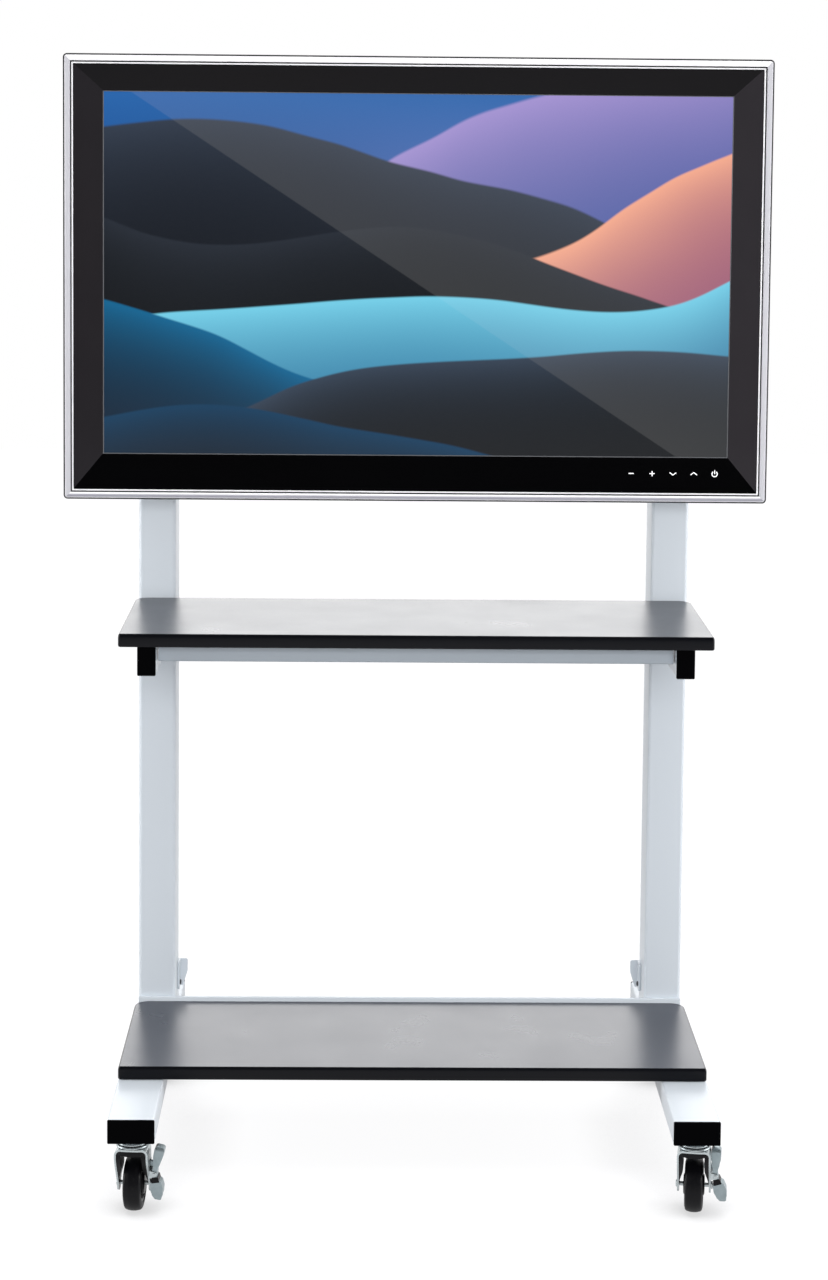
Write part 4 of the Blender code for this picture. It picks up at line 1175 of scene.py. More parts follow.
def touch_signs():
    """Minus, plus, down, up and power signs, laid on the bezel's slope at its lower right."""
    _, right, bottom, _ = screen_edges()
    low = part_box("display_trim")[0]
    height = bottom - SIGN_DROP
    edge = low.z + LIP_INSET + BEZEL_GAP + BEZEL_EDGE
    slope = (BEZEL_SLOPE - LINE_RISE) / (bottom - SCREEN_LINE - BEZEL_ROUND - edge)
    face = low.y + BEZEL_STEP + slope * (height - edge)
    slabs = []
    for index, sign in enumerate(("minus", "plus", "down", "up", "power")):
        for outline in sign_outlines(sign, right - SIGN_INSET - (4 - index) * SIGN_SPACING, height):
            slabs.append(prism(outline, "Y", face - SIGN_HEIGHT, face + SIGN_HEIGHT * 2))
    signs = joined(slabs)
    signs.transform(Matrix(((1, 0, 0, 0), (0, 1, slope, -slope * height), (0, 0, 1, 0), (0, 0, 0, 1))))
    piece("touch_signs", signs, "display", "sign_white", slot="grey_plastic")


# Repeated pieces, grown by Geometry Nodes

def new_growth(name, inputs):
    """A geometry tree with named inputs; an input is a name, a kind and a starting value."""
    tree = bpy.data.node_groups.new(name, "GeometryNodeTree")
    tree.interface.new_socket("Geometry", in_out="OUTPUT", socket_type="NodeSocketGeometry")
    for label, kind, start in inputs + (("Finish", "Material", None),):
        socket = tree.interface.new_socket(label, in_out="INPUT", socket_type="NodeSocket" + kind)
        if start is not None:
            socket.default_value = start
    wires = Wiring(tree)
    return wires, wires.node("NodeGroupInput").outputs, wires.node("NodeGroupOutput").inputs


def end_growth(wires, given, out, start, step, shape, rotation):
    """Sets a shape on each point of a line, makes the copies real and gives them their finish."""
    line = {"Count": given["Count"], "Start Location": start, "Offset": step}
    points = wires.node("GeometryNodeMeshLine", line).outputs[0]
    placed = {"Points": points, "Instance": shape, "Rotation": rotation}
    copies = wires.node("GeometryNodeInstanceOnPoints", placed).outputs[0]
    real = wires.node("GeometryNodeRealizeInstances", {"Geometry": copies}).outputs[0]
    done = wires.node("GeometryNodeSetMaterial", {"Geometry": real, "Material": given["Finish"]}).outputs[0]
    wires.feed(out["Geometry"], done)
    return wires.tree


def make_bolt_row():
    """Socket bolts in a straight row, each turned a little differently about its own axis."""
    inputs = (
        ("Count", "Int", 2),
        ("Start", "Vector", (0, 0, 0)),
        ("Step", "Vector", (0.1, 0, 0)),
        ("Facing", "Vector", (0, 0, 0)),
        ("Radius", "Float", 0.004),
        ("Height", "Float", 0.002),
        ("Seed", "Int", 5),
    )
    wires, given, out = new_growth("Bolt Row", inputs)
    top = wires.math("MULTIPLY", given["Radius"], 0.78)
    depth = given["Height"]
    head_size = {"Vertices": 32, "Radius Top": top, "Radius Bottom": given["Radius"], "Depth": depth}
    head = wires.node("GeometryNodeMeshCone", head_size).outputs[0]
    key_size = {"Vertices": 6, "Radius": wires.math("MULTIPLY", given["Radius"], 0.45), "Depth": depth}
    key = wires.node("GeometryNodeMeshCylinder", key_size).outputs[0]
    lift = wires.node("ShaderNodeCombineXYZ", {2: wires.math("MULTIPLY", depth, 0.85)}).outputs[0]
    key = wires.node("GeometryNodeTransform", {"Geometry": key, "Translation": lift}).outputs[0]
    cut = {"operation": "DIFFERENCE", "solver": "EXACT"}
    bolt = wires.node("GeometryNodeMeshBoolean", {0: head, 1: key}, **cut).outputs[0]
    bounds = {0: (0, 0, 0), 1: (0, 0, 1.05), 8: given["Seed"]}
    turn = wires.node("FunctionNodeRandomValue", bounds, data_type="FLOAT_VECTOR")
    own = wires.node("FunctionNodeEulerToRotation", {0: turn.outputs[0]}).outputs[0]
    facing = wires.node("FunctionNodeEulerToRotation", {0: given["Facing"]}).outputs[0]
    both = wires.node("FunctionNodeRotateRotation", {0: facing, 1: own}, rotation_space="LOCAL").outputs[0]
    return end_growth(wires, given, out, given["Start"], given["Step"], bolt, both)


def make_rib_row():
    """Straight ribs of one size in a row."""
    inputs = (
        ("Count", "Int", 8),
        ("Start", "Vector", (0, 0, 0)),
        ("Step", "Vector", (0.01, 0, 0)),
        ("Size", "Vector", (0.002, 0.002, 0.02)),
    )
    wires, given, out = new_growth("Rib Row", inputs)
    rib = wires.node("GeometryNodeMeshCube", {"Size": given["Size"]}).outputs[0]
    return end_growth(wires, given, out, given["Start"], given["Step"], rib, (0, 0, 0))


def make_spoke_ring():
    """Flat spokes round an axis along X."""
    inputs = (
        ("Count", "Int", 6),
        ("Centre", "Vector", (0, 0, 0)),
        ("Size", "Vector", (0.02, 0.01, 0.002)),
        ("Reach", "Float", 0.015),
    )
    wires, given, out = new_growth("Spoke Ring", inputs)
    spoke = wires.node("GeometryNodeMeshCube", {"Size": given["Size"]}).outputs[0]
    away = wires.node("ShaderNodeCombineXYZ", {1: given["Reach"]}).outputs[0]
    spoke = wires.node("GeometryNodeTransform", {"Geometry": spoke, "Translation": away}).outputs[0]
    index = wires.node("GeometryNodeInputIndex").outputs[0]
    share = wires.math("DIVIDE", wires.math("MULTIPLY", index, math.tau), given["Count"])
    angles = wires.node("ShaderNodeCombineXYZ", {0: share}).outputs[0]
    turn = wires.node("FunctionNodeEulerToRotation", {0: angles}).outputs[0]
    return end_growth(wires, given, out, given["Centre"], (0, 0, 0), spoke, turn)


BOLT_ROW = make_bolt_row()
RIB_ROW = make_rib_row()
SPOKE_RING = make_spoke_ring()


def grown(tree, finish, inputs):
    """The mesh that a geometry tree makes from the given inputs."""
    item = bpy.data.objects.new("seedling", bpy.data.meshes.new("seedling"))
    bpy.context.scene.collection.objects.link(item)
    growth = item.modifiers.new("growth", "NODES")
    growth.node_group = tree
    given = {**inputs, "Finish": FINISH[finish]}
    for socket in tree.interface.items_tree:
        if socket.in_out == "INPUT" and socket.name in given:
            growth[socket.identifier] = given[socket.name]
    return applied(item)


def applied(item):
    """The item's mesh with its modifiers applied; the item itself is removed."""
    graph = bpy.context.evaluated_depsgraph_get()
    result = bpy.data.meshes.new_from_object(item.evaluated_get(graph))
    bpy.data.objects.remove(item, do_unlink=True)
    return result


def joined(meshes):
    """One mesh of several."""
    shape = bmesh.new()
    for mesh in meshes:
        shape.from_mesh(mesh)
    return mesh_from(shape)


# Which way a bolt's head looks, as turns about X, Y and Z
FACING = {
    "front": (math.radians(90), 0, 0),
    "back": (math.radians(-90), 0, 0),
    "left": (0, math.radians(-90), 0),
    "right": (0, math.radians(90), 0),
    "up": (0, 0, 0),
    "down": (math.radians(180), 0, 0),
}


def bolt_row(finish, start, step, count, facing, radius=BOLT_RADIUS, height=BOLT_HEIGHT):
    inputs = {"Count": count, "Start": start, "Step": step, "Facing": FACING[facing]}
    inputs.update({"Radius": radius, "Height": height})
    return grown(BOLT_ROW, finish, inputs)


# Brackets at the foot of the posts

def brackets():
    """An angle on each post's inner face, with a bolt near its foot."""
    for side, inward in (("left", 1), ("right", -1)):
        low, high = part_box(f"{side}_post_bracket")
        wall, edge = (low.x, high.x) if inward > 0 else (high.x, low.x)
        face = wall + inward * BRACKET_PLATE
        leg = prism(rounded_rectangle(low.y, high.y, low.z, high.z, BRACKET_CORNER, 5), "X", wall, face)
        toe = wall + inward * BRACKET_TOE
        round_top = [(edge - inward * BRACKET_CORNER * (1 - math.sin(t)),
                      high.z - BRACKET_CORNER * (1 - math.cos(t))) for t in swings(0, 91, 18)]
        outline = [(wall, low.z), (wall, high.z)] + round_top
        outline += [(edge, low.z + (high.z - low.z) * 0.55), (toe, low.z)]
        flange = prism(outline, "Y", high.y - BRACKET_PLATE, high.y)
        mesh = combined(leg, [("UNION", flange)])
        piece(f"{side}_angle_bracket", mesh, "frame", "silver_paint", [f"{side}_post_bracket"], soften=0.0006)
        start = (face, low.y + (high.y - low.y) * 0.45, low.z + BRACKET_BOLT_RISE)
        bolt = bolt_row("dark_bolt", start, (0, 0, 0.012), 1, "right" if inward > 0 else "left")
        piece(f"{side}_bracket_bolt", bolt, "frame", "dark_bolt", slot="rail_steel")


# Fasteners on the frame

def frame_bolts():
    """Screws under the arms and the feet."""
    rows = []
    for side in ("left", "right"):
        low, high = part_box(f"{side}_shelf_arm")
        middle = (low.x + high.x) / 2
        step = (high.y - low.y) * 0.4
        rows.append(bolt_row("zinc", (middle, low.y + step * 0.25, low.z), (0, step, 0), 3, "down"))
        low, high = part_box(f"{side}_foot")
        post_low, post_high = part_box(f"{side}_post")
        middle = (low.x + high.x) / 2
        start = (middle, post_low.y + FOOT_BOLT_INSET, low.z)
        step = (0, post_high.y - post_low.y - 2 * FOOT_BOLT_INSET, 0)
        rows.append(bolt_row("zinc", start, step, 2, "down", *FOOT_BOLT))
    piece("frame_bolts", joined(rows), "frame", "zinc", smooth_angle=30)


# Display mount

def rounded_path(outline, radius, steps=4):
    """Rounds the corners of a closed outline."""
    points = []
    for i, corner in enumerate(outline):
        here = Vector(corner)
        before = Vector(outline[i - 1]) - here
        after = Vector(outline[(i + 1) % len(outline)]) - here
        reach = min(radius, before.length * 0.49, after.length * 0.49)
        start, end = here + before.normalized() * reach, here + after.normalized() * reach
        for step in range(steps + 1):
            share = step / steps
            near = start.lerp(here, share)
            points.append(tuple(near.lerp(here.lerp(end, share), share)))
    return points


def rails():
    """The two J rails, with rows of slots through their webs and bolts into the posts."""
    for name in ("upper", "lower"):
        low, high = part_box(f"mount_{name}_rail")
        outline = [
            (high.y, low.z), (high.y, high.z), (high.y - RAIL_SHEET, high.z),
            (high.y - RAIL_SHEET, low.z + RAIL_SHEET), (low.y + RAIL_SHEET, low.z + RAIL_SHEET),
            (low.y + RAIL_SHEET, low.z + RAIL_LIP), (low.y, low.z + RAIL_LIP), (low.y, low.z),
        ]
        body = prism(rounded_path(outline, BEND_RADIUS), "X", low.x, high.x)
        step = (RAIL_SLOT_SPACING, 0, 0)
        start = (-RAIL_SLOT_SPACING * (RAIL_SLOTS - 1) / 2, high.y, (low.z + RAIL_LIP + high.z) / 2)
        slots = {"Count": RAIL_SLOTS, "Start": start, "Step": step, "Size": RAIL_SLOT_SIZE}
        mesh = combined(body, [("DIFFERENCE", grown(RIB_ROW, "rail_steel", slots))])
        piece(f"{name}_rail_steel", mesh, "frame", "rail_steel", [f"mount_{name}_rail"], soften=0.0003)
    rows = []
    for name in ("upper", "lower"):
        low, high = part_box(f"mount_{name}_rail")
        for side in ("left", "right"):
            post_low, post_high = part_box(f"{side}_post")
            start = (post_low.x + RAIL_BOLT_INSET, high.y - RAIL_SHEET, high.z - RAIL_BOLT_DROP)
            step = (post_high.x - post_low.x - 2 * RAIL_BOLT_INSET, 0, 0)
            rows.append(bolt_row("zinc", start, step, 2, "front", *RAIL_BOLT))
    piece("rail_bolts", joined(rows), "frame", "zinc", smooth_angle=30)


def hook_arms():
    """The bars on the display's back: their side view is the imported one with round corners, plus screws."""
    rows = []
    for side in ("left", "right"):
        name = f"{side}_hook_arm"
        low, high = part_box(name)
        bar_back = low.y + HOOK_BAR_DEPTH
        outline = [(low.y, low.z), (bar_back, low.z)]
        for rail in ("lower", "upper"):
            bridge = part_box(f"mount_{rail}_rail")[0].z + RAIL_LIP + HOOK_REST
            finger_front = high.y - HOOK_THICKNESS
            tip, top = bridge - HOOK_LENGTH, bridge + HOOK_BRIDGE
            outline += [(bar_back, bridge), (finger_front, bridge), (finger_front, tip)]
            outline += [(high.y, tip), (high.y, top), (bar_back, top)]
        outline += [(bar_back, high.z), (low.y, high.z)]
        slots = {"Count": HOOK_SLOTS, "Step": (0, 0, HOOK_SLOT_SPACING), "Size": HOOK_SLOT_SIZE}
        slots["Start"] = ((low.x + high.x) / 2, bar_back, low.z + HOOK_SLOT_RISE)
        body = prism(rounded_path(outline, BEND_RADIUS), "X", low.x, high.x)
        mesh = combined(body, [("DIFFERENCE", grown(RIB_ROW, "rail_steel", slots))])
        piece(f"{side}_hook_bar", mesh, "display", "rail_steel", [name], soften=0.0003)
        start = ((low.x + high.x) / 2, bar_back, low.z + HOOK_SCREW_INSET)
        step = (0, 0, high.z - low.z - 2 * HOOK_SCREW_INSET)
        rows.append(bolt_row("zinc", start, step, 2, "back", *HOOK_SCREW))
    piece("hook_arm_screws", joined(rows), "display", "zinc", smooth_angle=30)


# Back of the display

def cover_face():
    """The flat of the cover's back: left, right, bottom, top and depth."""
    low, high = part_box("display_trim")
    inset = COVER_BACK_INSET
    return low.x + inset, high.x - inset, low.z + inset, high.z - inset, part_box("display_back_cover")[1].y


def cover_rings():
    """The cover's outline from its inner lip over the rim, the slope and the flat back."""
    start = COVER_START
    rim = start + COVER_RIM_DEPTH
    slope = rim + COVER_SLOPE_DEPTH
    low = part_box("display_trim")[0]
    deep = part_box("display_back_cover")[1].y - low.y
    wall = COVER_WALL
    outside = [
        (COVER_RIM_INSET, start), (COVER_RIM_INSET, rim), (COVER_SLOPE_INSET, slope),
        (COVER_BACK_INSET, deep),
    ]
    inside = [(inset + wall, depth - wall) for inset, depth in reversed(outside[1:])]
    inside.append((COVER_RIM_INSET + wall, start))
    path = inside + outside
    soft = [path[0]]
    for before, here, after in zip(path, path[1:], path[2:]):
        here_v = Vector(here)
        to_before, to_after = Vector(before) - here_v, Vector(after) - here_v
        reach = min(COVER_BEND, to_before.length * 0.4, to_after.length * 0.4)
        first, last = here_v + to_before.normalized() * reach, here_v + to_after.normalized() * reach
        for share in (0.0, 0.25, 0.5, 0.75, 1.0):
            soft.append(tuple(first.lerp(here_v, share).lerp(here_v.lerp(last, share), share)))
    soft.append(path[-1])
    return [display_ring(inset, depth, COVER_CORNER) for inset, depth in soft]


def pocket(back, left, right, low, high):
    """A shallow cut in the flat back."""
    outline = rounded_rectangle(left, right, low, high, POCKET_CORNER, 4)
    return "DIFFERENCE", prism(outline, "Y", back - VENT_DEPTH, back + VENT_DEPTH)


def vent_bars(back, left, low, high):
    """The bars of one vent field."""
    count = int(VENT_WIDTH / VENT_PITCH) - 1
    margin = (VENT_WIDTH - VENT_PITCH * (count - 1)) / 2
    row = {"Count": count, "Step": (VENT_PITCH, 0, 0)}
    row["Start"] = (left + margin, back - VENT_DEPTH * 0.62, (low + high) / 2)
    row["Size"] = (VENT_PITCH * 0.45, VENT_DEPTH * 0.84, high - low + 0.0006)
    return grown(RIB_ROW, "back_plastic", row)


def socket_collar(back, u, v, wide, high):
    """The wall round one socket in the bay."""
    half_wide, half_high = wide / 2, high / 2
    out_wide, out_high = half_wide + SOCKET_WALL, half_high + SOCKET_WALL
    outer = rounded_rectangle(u - out_wide, u + out_wide, v - out_high, v + out_high, 0.001, 3)
    inner = rounded_rectangle(u - half_wide, u + half_wide, v - half_high, v + half_high, 0.0006, 3)
    wall = prism(outer, "Y", back - VENT_DEPTH * 1.2, back - VENT_DEPTH * 0.3)
    return combined(wall, [("DIFFERENCE", prism(inner, "Y", back - VENT_DEPTH * 0.8, back))])


def back_cover():
    """The moulded back with two rows of vents, a socket bay and its sockets."""
    left, right, bottom, top, back = cover_face()
    pockets = []
    bars = []
    middle = (left + right) / 2
    for low in (top - VENT_INSET - VENT_HEIGHT, bottom + VENT_INSET):
        for start in (middle - VENT_START - VENT_WIDTH, middle + VENT_START):
            pockets.append(pocket(back, start, start + VENT_WIDTH, low, low + VENT_HEIGHT))
            bars.append(vent_bars(back, start, low, low + VENT_HEIGHT))
    bay_right, bay_low = right - BAY_INSET, bottom + BAY_RISE
    pockets.append(pocket(back, bay_right - BAY_WIDTH, bay_right, bay_low, bay_low + BAY_HEIGHT))
    mesh = combined(loft(cover_rings()), pockets)
    piece("back_moulding", mesh, "display", "back_plastic", ["display_back_cover"], smooth_angle=40)
    piece("vent_ribs", joined(bars), "display", "back_plastic", soften=0.0003)
    collars = []
    for index, (wide, high) in enumerate(BAY_SOCKETS):
        u = bay_right - BAY_WIDTH * (index + 0.5) / len(BAY_SOCKETS)
        collars.append(socket_collar(back, u, bay_low + BAY_HEIGHT / 2, wide, high))
    piece("rear_sockets", joined(collars), "display", "grey_plastic", soften=0.0002)


def cover_screws():
    """Small screws along the rim of the back, in rows."""
    low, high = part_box("display_trim")
    depth = low.y + COVER_START + COVER_RIM_DEPTH + COVER_SLOPE_DEPTH * COVER_SCREW_SHARE - 0.0006
    inset = COVER_RIM_INSET + (COVER_SLOPE_INSET - COVER_RIM_INSET) * COVER_SCREW_SHARE
    wide, tall = high.x - low.x - 2 * inset, high.z - low.z - 2 * inset
    rows = []
    for z in (low.z + inset, high.z - inset):
        start = (low.x + inset, depth, z)
        rows.append(bolt_row("dark_bolt", start, (wide / 5, 0, 0), 6, "back", *COVER_SCREW))
    for x in (low.x + inset, high.x - inset):
        start = (x, depth, low.z + inset + tall / 3)
        rows.append(bolt_row("dark_bolt", start, (0, 0, tall / 3), 2, "back", *COVER_SCREW))
    piece("cover_screws", joined(rows), "display", "dark_bolt", slot="rail_steel", smooth_angle=30)


# Casters

def place_in_caster(mesh, name, turn):
    """Moves a mesh from the caster's own frame to its place."""
    low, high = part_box(f"{name}_caster_stem")
    middle = (low + high) / 2
    mesh.transform(Matrix.Translation((middle.x, middle.y, 0)) @ Matrix.Rotation(math.radians(turn), 4, "Z"))
    return mesh


def upper_race(name):
    """The fixed race with its rolled lip, and the stem."""
    lip = RACE_RADIUS - LIP_ROLL
    profile = [(0.008, RACE_SPLIT + 0.0004)]
    profile += [(lip + LIP_ROLL * math.sin(t), RACE_SPLIT + LIP_RISE - LIP_ROLL * math.cos(t))
                for t in swings(0, 181, 20)]
    profile += [(RACE_RADIUS - 0.0022, RACE_SPLIT + 0.0046), (RACE_RADIUS - 0.0030, RACE_TOP)]
    profile += [(STEM_RADIUS, RACE_TOP), (STEM_RADIUS, STEM_TOP - 0.001), (STEM_RADIUS - 0.001, STEM_TOP)]
    low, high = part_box(f"{name}_caster_stem")
    middle = (low + high) / 2
    race = turned("Z", profile, (middle.x, middle.y))
    piece(f"{name}_upper_race", race, "frame", "zinc", [f"{name}_caster_stem"])


def fork_path():
    """The fork's front view along the middle of its sheet, from one toe over the crown to the other."""
    half = FORK_WIDTH / 2 - FORK_SHEET / 2
    radius = FORK_SHOULDER - FORK_SHEET / 2
    crown = FORK_CROWN - FORK_SHEET / 2
    toe = WHEEL_RADIUS - FORK_TOE
    leg = [(half, toe + (crown - radius - toe) * i / 26) for i in range(26)]
    leg += arc((half - radius, crown - radius), radius, 0, 90, 8)
    bridge = [((half - radius) * (1 - 2 * i / 16), crown) for i in range(1, 16)]
    return leg + bridge + [(-x, z) for x, z in reversed(leg)]


def fork_edges(x, z):
    """Front and rear of the fork's sheet at a point of its path."""
    waist = FORK_CROWN - FORK_SHOULDER * 1.6
    if z > waist:
        share = min(abs(x) * 2 / FORK_WIDTH, 1.0)
        reach = FORK_TOP_HALF * (1 - 0.16 * share ** 3)
        return -reach, reach
    share = (waist - z) / (waist - WHEEL_RADIUS)
    top_reach = FORK_TOP_HALF * 0.84
    if share <= 1:
        ease = share * share * (3 - 2 * share)
        front = -top_reach + (CASTER_TRAIL - FORK_TOE + top_reach) * (0.55 * share + 0.45 * ease)
        rear = top_reach + (CASTER_TRAIL + FORK_TOE - top_reach) * share
        return front, rear
    drop = min((WHEEL_RADIUS - z) / FORK_TOE, 0.985)
    wide = FORK_TOE * math.sqrt(1 - drop * drop)
    return CASTER_TRAIL - wide, CASTER_TRAIL + wide


def fork_sheet():
    """The stamped fork as a solid sheet."""
    shape = bmesh.new()
    rows = []
    across = 14
    for x, z in fork_path():
        front, rear = fork_edges(x, z)
        rows.append([shape.verts.new((x, front + (rear - front) * j / across, z)) for j in range(across + 1)])
    for near, far in zip(rows, rows[1:]):
        for j in range(across):
            shape.faces.new((near[j], near[j + 1], far[j + 1], far[j]))
    item = bpy.data.objects.new("sheet", mesh_from(shape))
    bpy.context.scene.collection.objects.link(item)
    thick = item.modifiers.new("sheet", "SOLIDIFY")
    thick.thickness = FORK_SHEET
    thick.offset = 0
    return applied(item)


def brake_window():
    """The outline of the window that the brake's nose passes through."""
    y, z = PIN_PLACE[1], PIN_PLACE[2] + NOSE_RISE
    return rounded_rectangle(y - WINDOW_WIDTH / 2, y + WINDOW_WIDTH / 2, z - WINDOW_HEIGHT / 2,
                             z + WINDOW_HEIGHT / 2, WINDOW_CORNER, 4)


def brake_mounts():
    """Cuts and ears for the brake: a window for its nose and two ears that hold its pin."""
    half = FORK_WIDTH / 2
    x, y, z = PIN_PLACE
    steps = [("DIFFERENCE", prism(brake_window(), "X", half - 2 * FORK_SHEET, half + FORK_SHEET))]
    outline = [(half - FORK_SHEET / 2, z - EAR_ROOT / 2)]
    outline += arc((x, z), EAR_RADIUS, -60, 60, 10)
    outline += [(half - FORK_SHEET / 2, z + EAR_ROOT / 2)]
    for end in (-1, 1):
        near = y + end * (PEDAL_WIDTH / 2 + EAR_GAP)
        steps.append(("UNION", prism(outline, "Y", near, near + end * EAR_SHEET)))
    return steps


def shade_inner_faces(mesh, is_inner):
    """Marks faces that lie in the fork's or the pedal's own shade."""
    shade = mesh.attributes.new("inner_shade", "FLOAT", "FACE")
    for face in mesh.polygons:
        shade.data[face.index].value = 1.0 if is_inner(face.center, face.normal) else 0.0


def faces_wheel(centre, normal):
    inward = Vector((-centre.x, 0, WHEEL_RADIUS * 1.4 - centre.z))
    return normal.dot(inward.normalized()) > 0.3 and abs(normal.y) < 0.5


def fork(name, body, turn, braked):
    mesh = fork_sheet()
    if braked:
        mesh = combined(mesh, brake_mounts())
    shade_inner_faces(mesh, faces_wheel)
    place_in_caster(mesh, name, turn)
    piece(f"{name}_fork_plate", mesh, body, "zinc", [f"{name}_fork"], soften=0.0005, smooth_angle=45)
    lip = RACE_RADIUS + 0.0010
    profile = [(0.006, FORK_CROWN - 0.0002), (lip - 0.0016, FORK_CROWN - 0.0002)]
    profile += [(lip - LIP_ROLL + LIP_ROLL * math.sin(t), FORK_CROWN + LIP_RISE - LIP_ROLL * math.cos(t))
                for t in swings(0, 151, 15)]
    profile += [(RACE_RADIUS - 0.0030, RACE_SPLIT - 0.0003), (0.006, RACE_SPLIT - 0.0003)]
    race = place_in_caster(turned("Z", profile, closed=True), name, turn)
    piece(f"{name}_lower_race", race, body, "zinc")


def fork_dark_lining(name, body, turn, braked):
    """A black lining inside the fork that makes its inside dark: thin at its toes, full beside the wheel and
    under the crown.
    """
    path = fork_path()
    shoulder = FORK_CROWN - FORK_SHOULDER
    bridge_half = FORK_WIDTH / 2 - FORK_SHOULDER
    rings = []
    for k in range(1, len(path) - 1):
        x, z = path[k]
        if z < LINING_END:
            continue
        ahead = Vector(path[k + 1]) - Vector(path[k - 1])
        inward = Vector((-ahead.y, ahead.x)).normalized()
        share = min((z - LINING_END) / ((shoulder - LINING_END) * 0.6), 1.0)
        thick = LINING_INSET + (LINING_SIDE - LINING_INSET) * share * share * (3 - 2 * share)
        if abs(x) < bridge_half:
            thick += (LINING_TOP - LINING_SIDE) * (1 - (x / bridge_half) ** 2)
        outer = Vector((x, z)) + inward * (FORK_SHEET / 2 + 0.0002)
        inner = Vector((x, z)) + inward * (FORK_SHEET / 2 + thick)
        front, rear = fork_edges(x, z)
        front, rear = front + LINING_INSET, rear - LINING_INSET
        rings.append([(outer.x, front, outer.y), (outer.x, rear, outer.y), (inner.x, rear, inner.y),
                      (inner.x, front, inner.y)])
    lining = loft(rings)
    if braked:
        lining = combined(lining, [("DIFFERENCE", prism(brake_window(), "X", FORK_WIDTH / 4, FORK_WIDTH))])
    piece(f"{name}_fork_dark_lining", place_in_caster(lining, name, turn), body, "core_plastic", soften=0.0004)


def race_shade_rings(name, body, turn):
    """Two black rings of painted shade: one in the gap between the races, one in the crease under the lower
    race's lip.
    """
    rings = []
    for low, high, radius in ((RACE_SPLIT - 0.0014, RACE_SPLIT + 0.0003, RACE_RADIUS - 0.0006),
                              (FORK_CROWN + 0.0001, FORK_CROWN + 0.0009, RACE_RADIUS + 0.0002)):
        profile = [(0.010, low), (radius, low), (radius, high), (0.010, high)]
        rings.append(turned("Z", profile, closed=True))
    shade_rings = place_in_caster(joined(rings), name, turn)
    piece(f"{name}_race_shade_rings", shade_rings, body, "core_plastic")


def hexagon(across, centre=(0, 0)):
    radius = across / math.sqrt(3)
    return [(centre[0] + radius * math.cos(t), centre[1] + radius * math.sin(t)) for t in swings(30, 390, 60)]


def axle_bolt(name, body, turn):
    """The axle: a domed head on one side and a nut on the other."""
    centre = (CASTER_TRAIL, WHEEL_RADIUS)
    face = FORK_WIDTH / 2 + 0.0002
    profile = [(AXLE_RADIUS, -face), (NUT_ACROSS / 2, -face), (NUT_ACROSS / 2, -face - 0.0008)]
    profile += [(NUT_ACROSS / 2 * math.cos(t), -face - 0.0008 - 0.0016 * math.sin(t))
                for t in swings(20, 81, 20)]
    shank = turned("X", [(AXLE_RADIUS, face + 0.0026)] + profile, centre, 32)
    nut = prism(hexagon(NUT_ACROSS, centre), "X", face, face + NUT_HEIGHT)
    mesh = place_in_caster(joined([shank, nut]), name, turn)
    piece(f"{name}_axle_bolt", mesh, body, "zinc", [f"{name}_axle"], soften=0.0003)


def tread_ring(name, body, turn):
    """The tyre: rounded shoulders and a rolling face with a slight crown."""
    half = TYRE_WIDTH / 2
    tread_half = half * 0.62
    side = WHEEL_RADIUS - 0.0052
    profile = [(TYRE_BORE, -half + 0.0015), (TYRE_BORE + 0.0015, -half)]
    profile += [(side - 0.0018, -half), (side - 0.0010, -half + 0.0004)]
    shoulder = half - tread_half
    for swing in swings(0, 91, 15):
        along = -half + 0.0006 + shoulder * (1 - math.cos(swing))
        profile.append((side + TYRE_ROUND * math.sin(swing), along))
    profile += [(WHEEL_RADIUS - 0.0006, -tread_half * 0.8), (WHEEL_RADIUS - 0.0001, -tread_half * 0.4)]
    profile.append((WHEEL_RADIUS, 0))
    profile += [(radius, -along) for radius, along in reversed(profile[:-1])]
    tyre = place_in_caster(turned("X", profile, (CASTER_TRAIL, WHEEL_RADIUS), 72, closed=True), name, turn)
    piece(f"{name}_tread_ring", tyre, body, "tread", [f"{name}_tyre"])


def wheel_core(name, body, turn):
    """The moulded core: a raised hub disc, a thin web with spokes, and the rim under the tyre."""
    centre = (CASTER_TRAIL, WHEEL_RADIUS)
    half = HUB_WIDTH / 2
    rim = TYRE_BORE - 0.0003
    bore = AXLE_RADIUS + 0.0004
    profile = [(bore, -half), (HUB_DISC - HUB_ROUND, -half)]
    profile += [(HUB_DISC - HUB_ROUND + HUB_ROUND * math.sin(t), -half + HUB_ROUND - HUB_ROUND * math.cos(t))
                for t in swings(30, 91, 30)]
    profile += [(HUB_DISC, -0.003), (rim - 0.0045, -0.003), (rim - 0.0040, -0.0105), (rim - 0.0030, -0.0115)]
    profile += [(rim - 0.0005, -0.0115), (rim, -0.0110)]
    hub = turned("X", mirrored(profile), centre, 64, closed=True)
    inner, outer = HUB_DISC - 0.001, rim - 0.0042
    spokes = {"Count": 8, "Centre": (0, *centre), "Reach": (inner + outer) / 2}
    spokes["Size"] = (0.0200, outer - inner, 0.0018)
    mesh = place_in_caster(joined([hub, grown(SPOKE_RING, "core_plastic", spokes)]), name, turn)
    piece(f"{name}_wheel_core", mesh, body, "core_plastic", [f"{name}_hub"])


def nut_room():
    """The room that the axle's nut needs when the pedal is pressed, in the pedal's own frame."""
    x, y, z = PIN_PLACE
    radius = NUT_ACROSS / 2 + 0.0018
    ring = [(CASTER_TRAIL - y + radius * math.cos(t), WHEEL_RADIUS - z + radius * math.sin(t))
            for t in swings(0, 360, 12)]
    room = prism(ring, "X", -x, FORK_WIDTH / 2 + NUT_HEIGHT + 0.0008 - x)
    room.transform(Matrix.Rotation(math.radians(-PEDAL_STROKE), 4, "Y"))
    return room


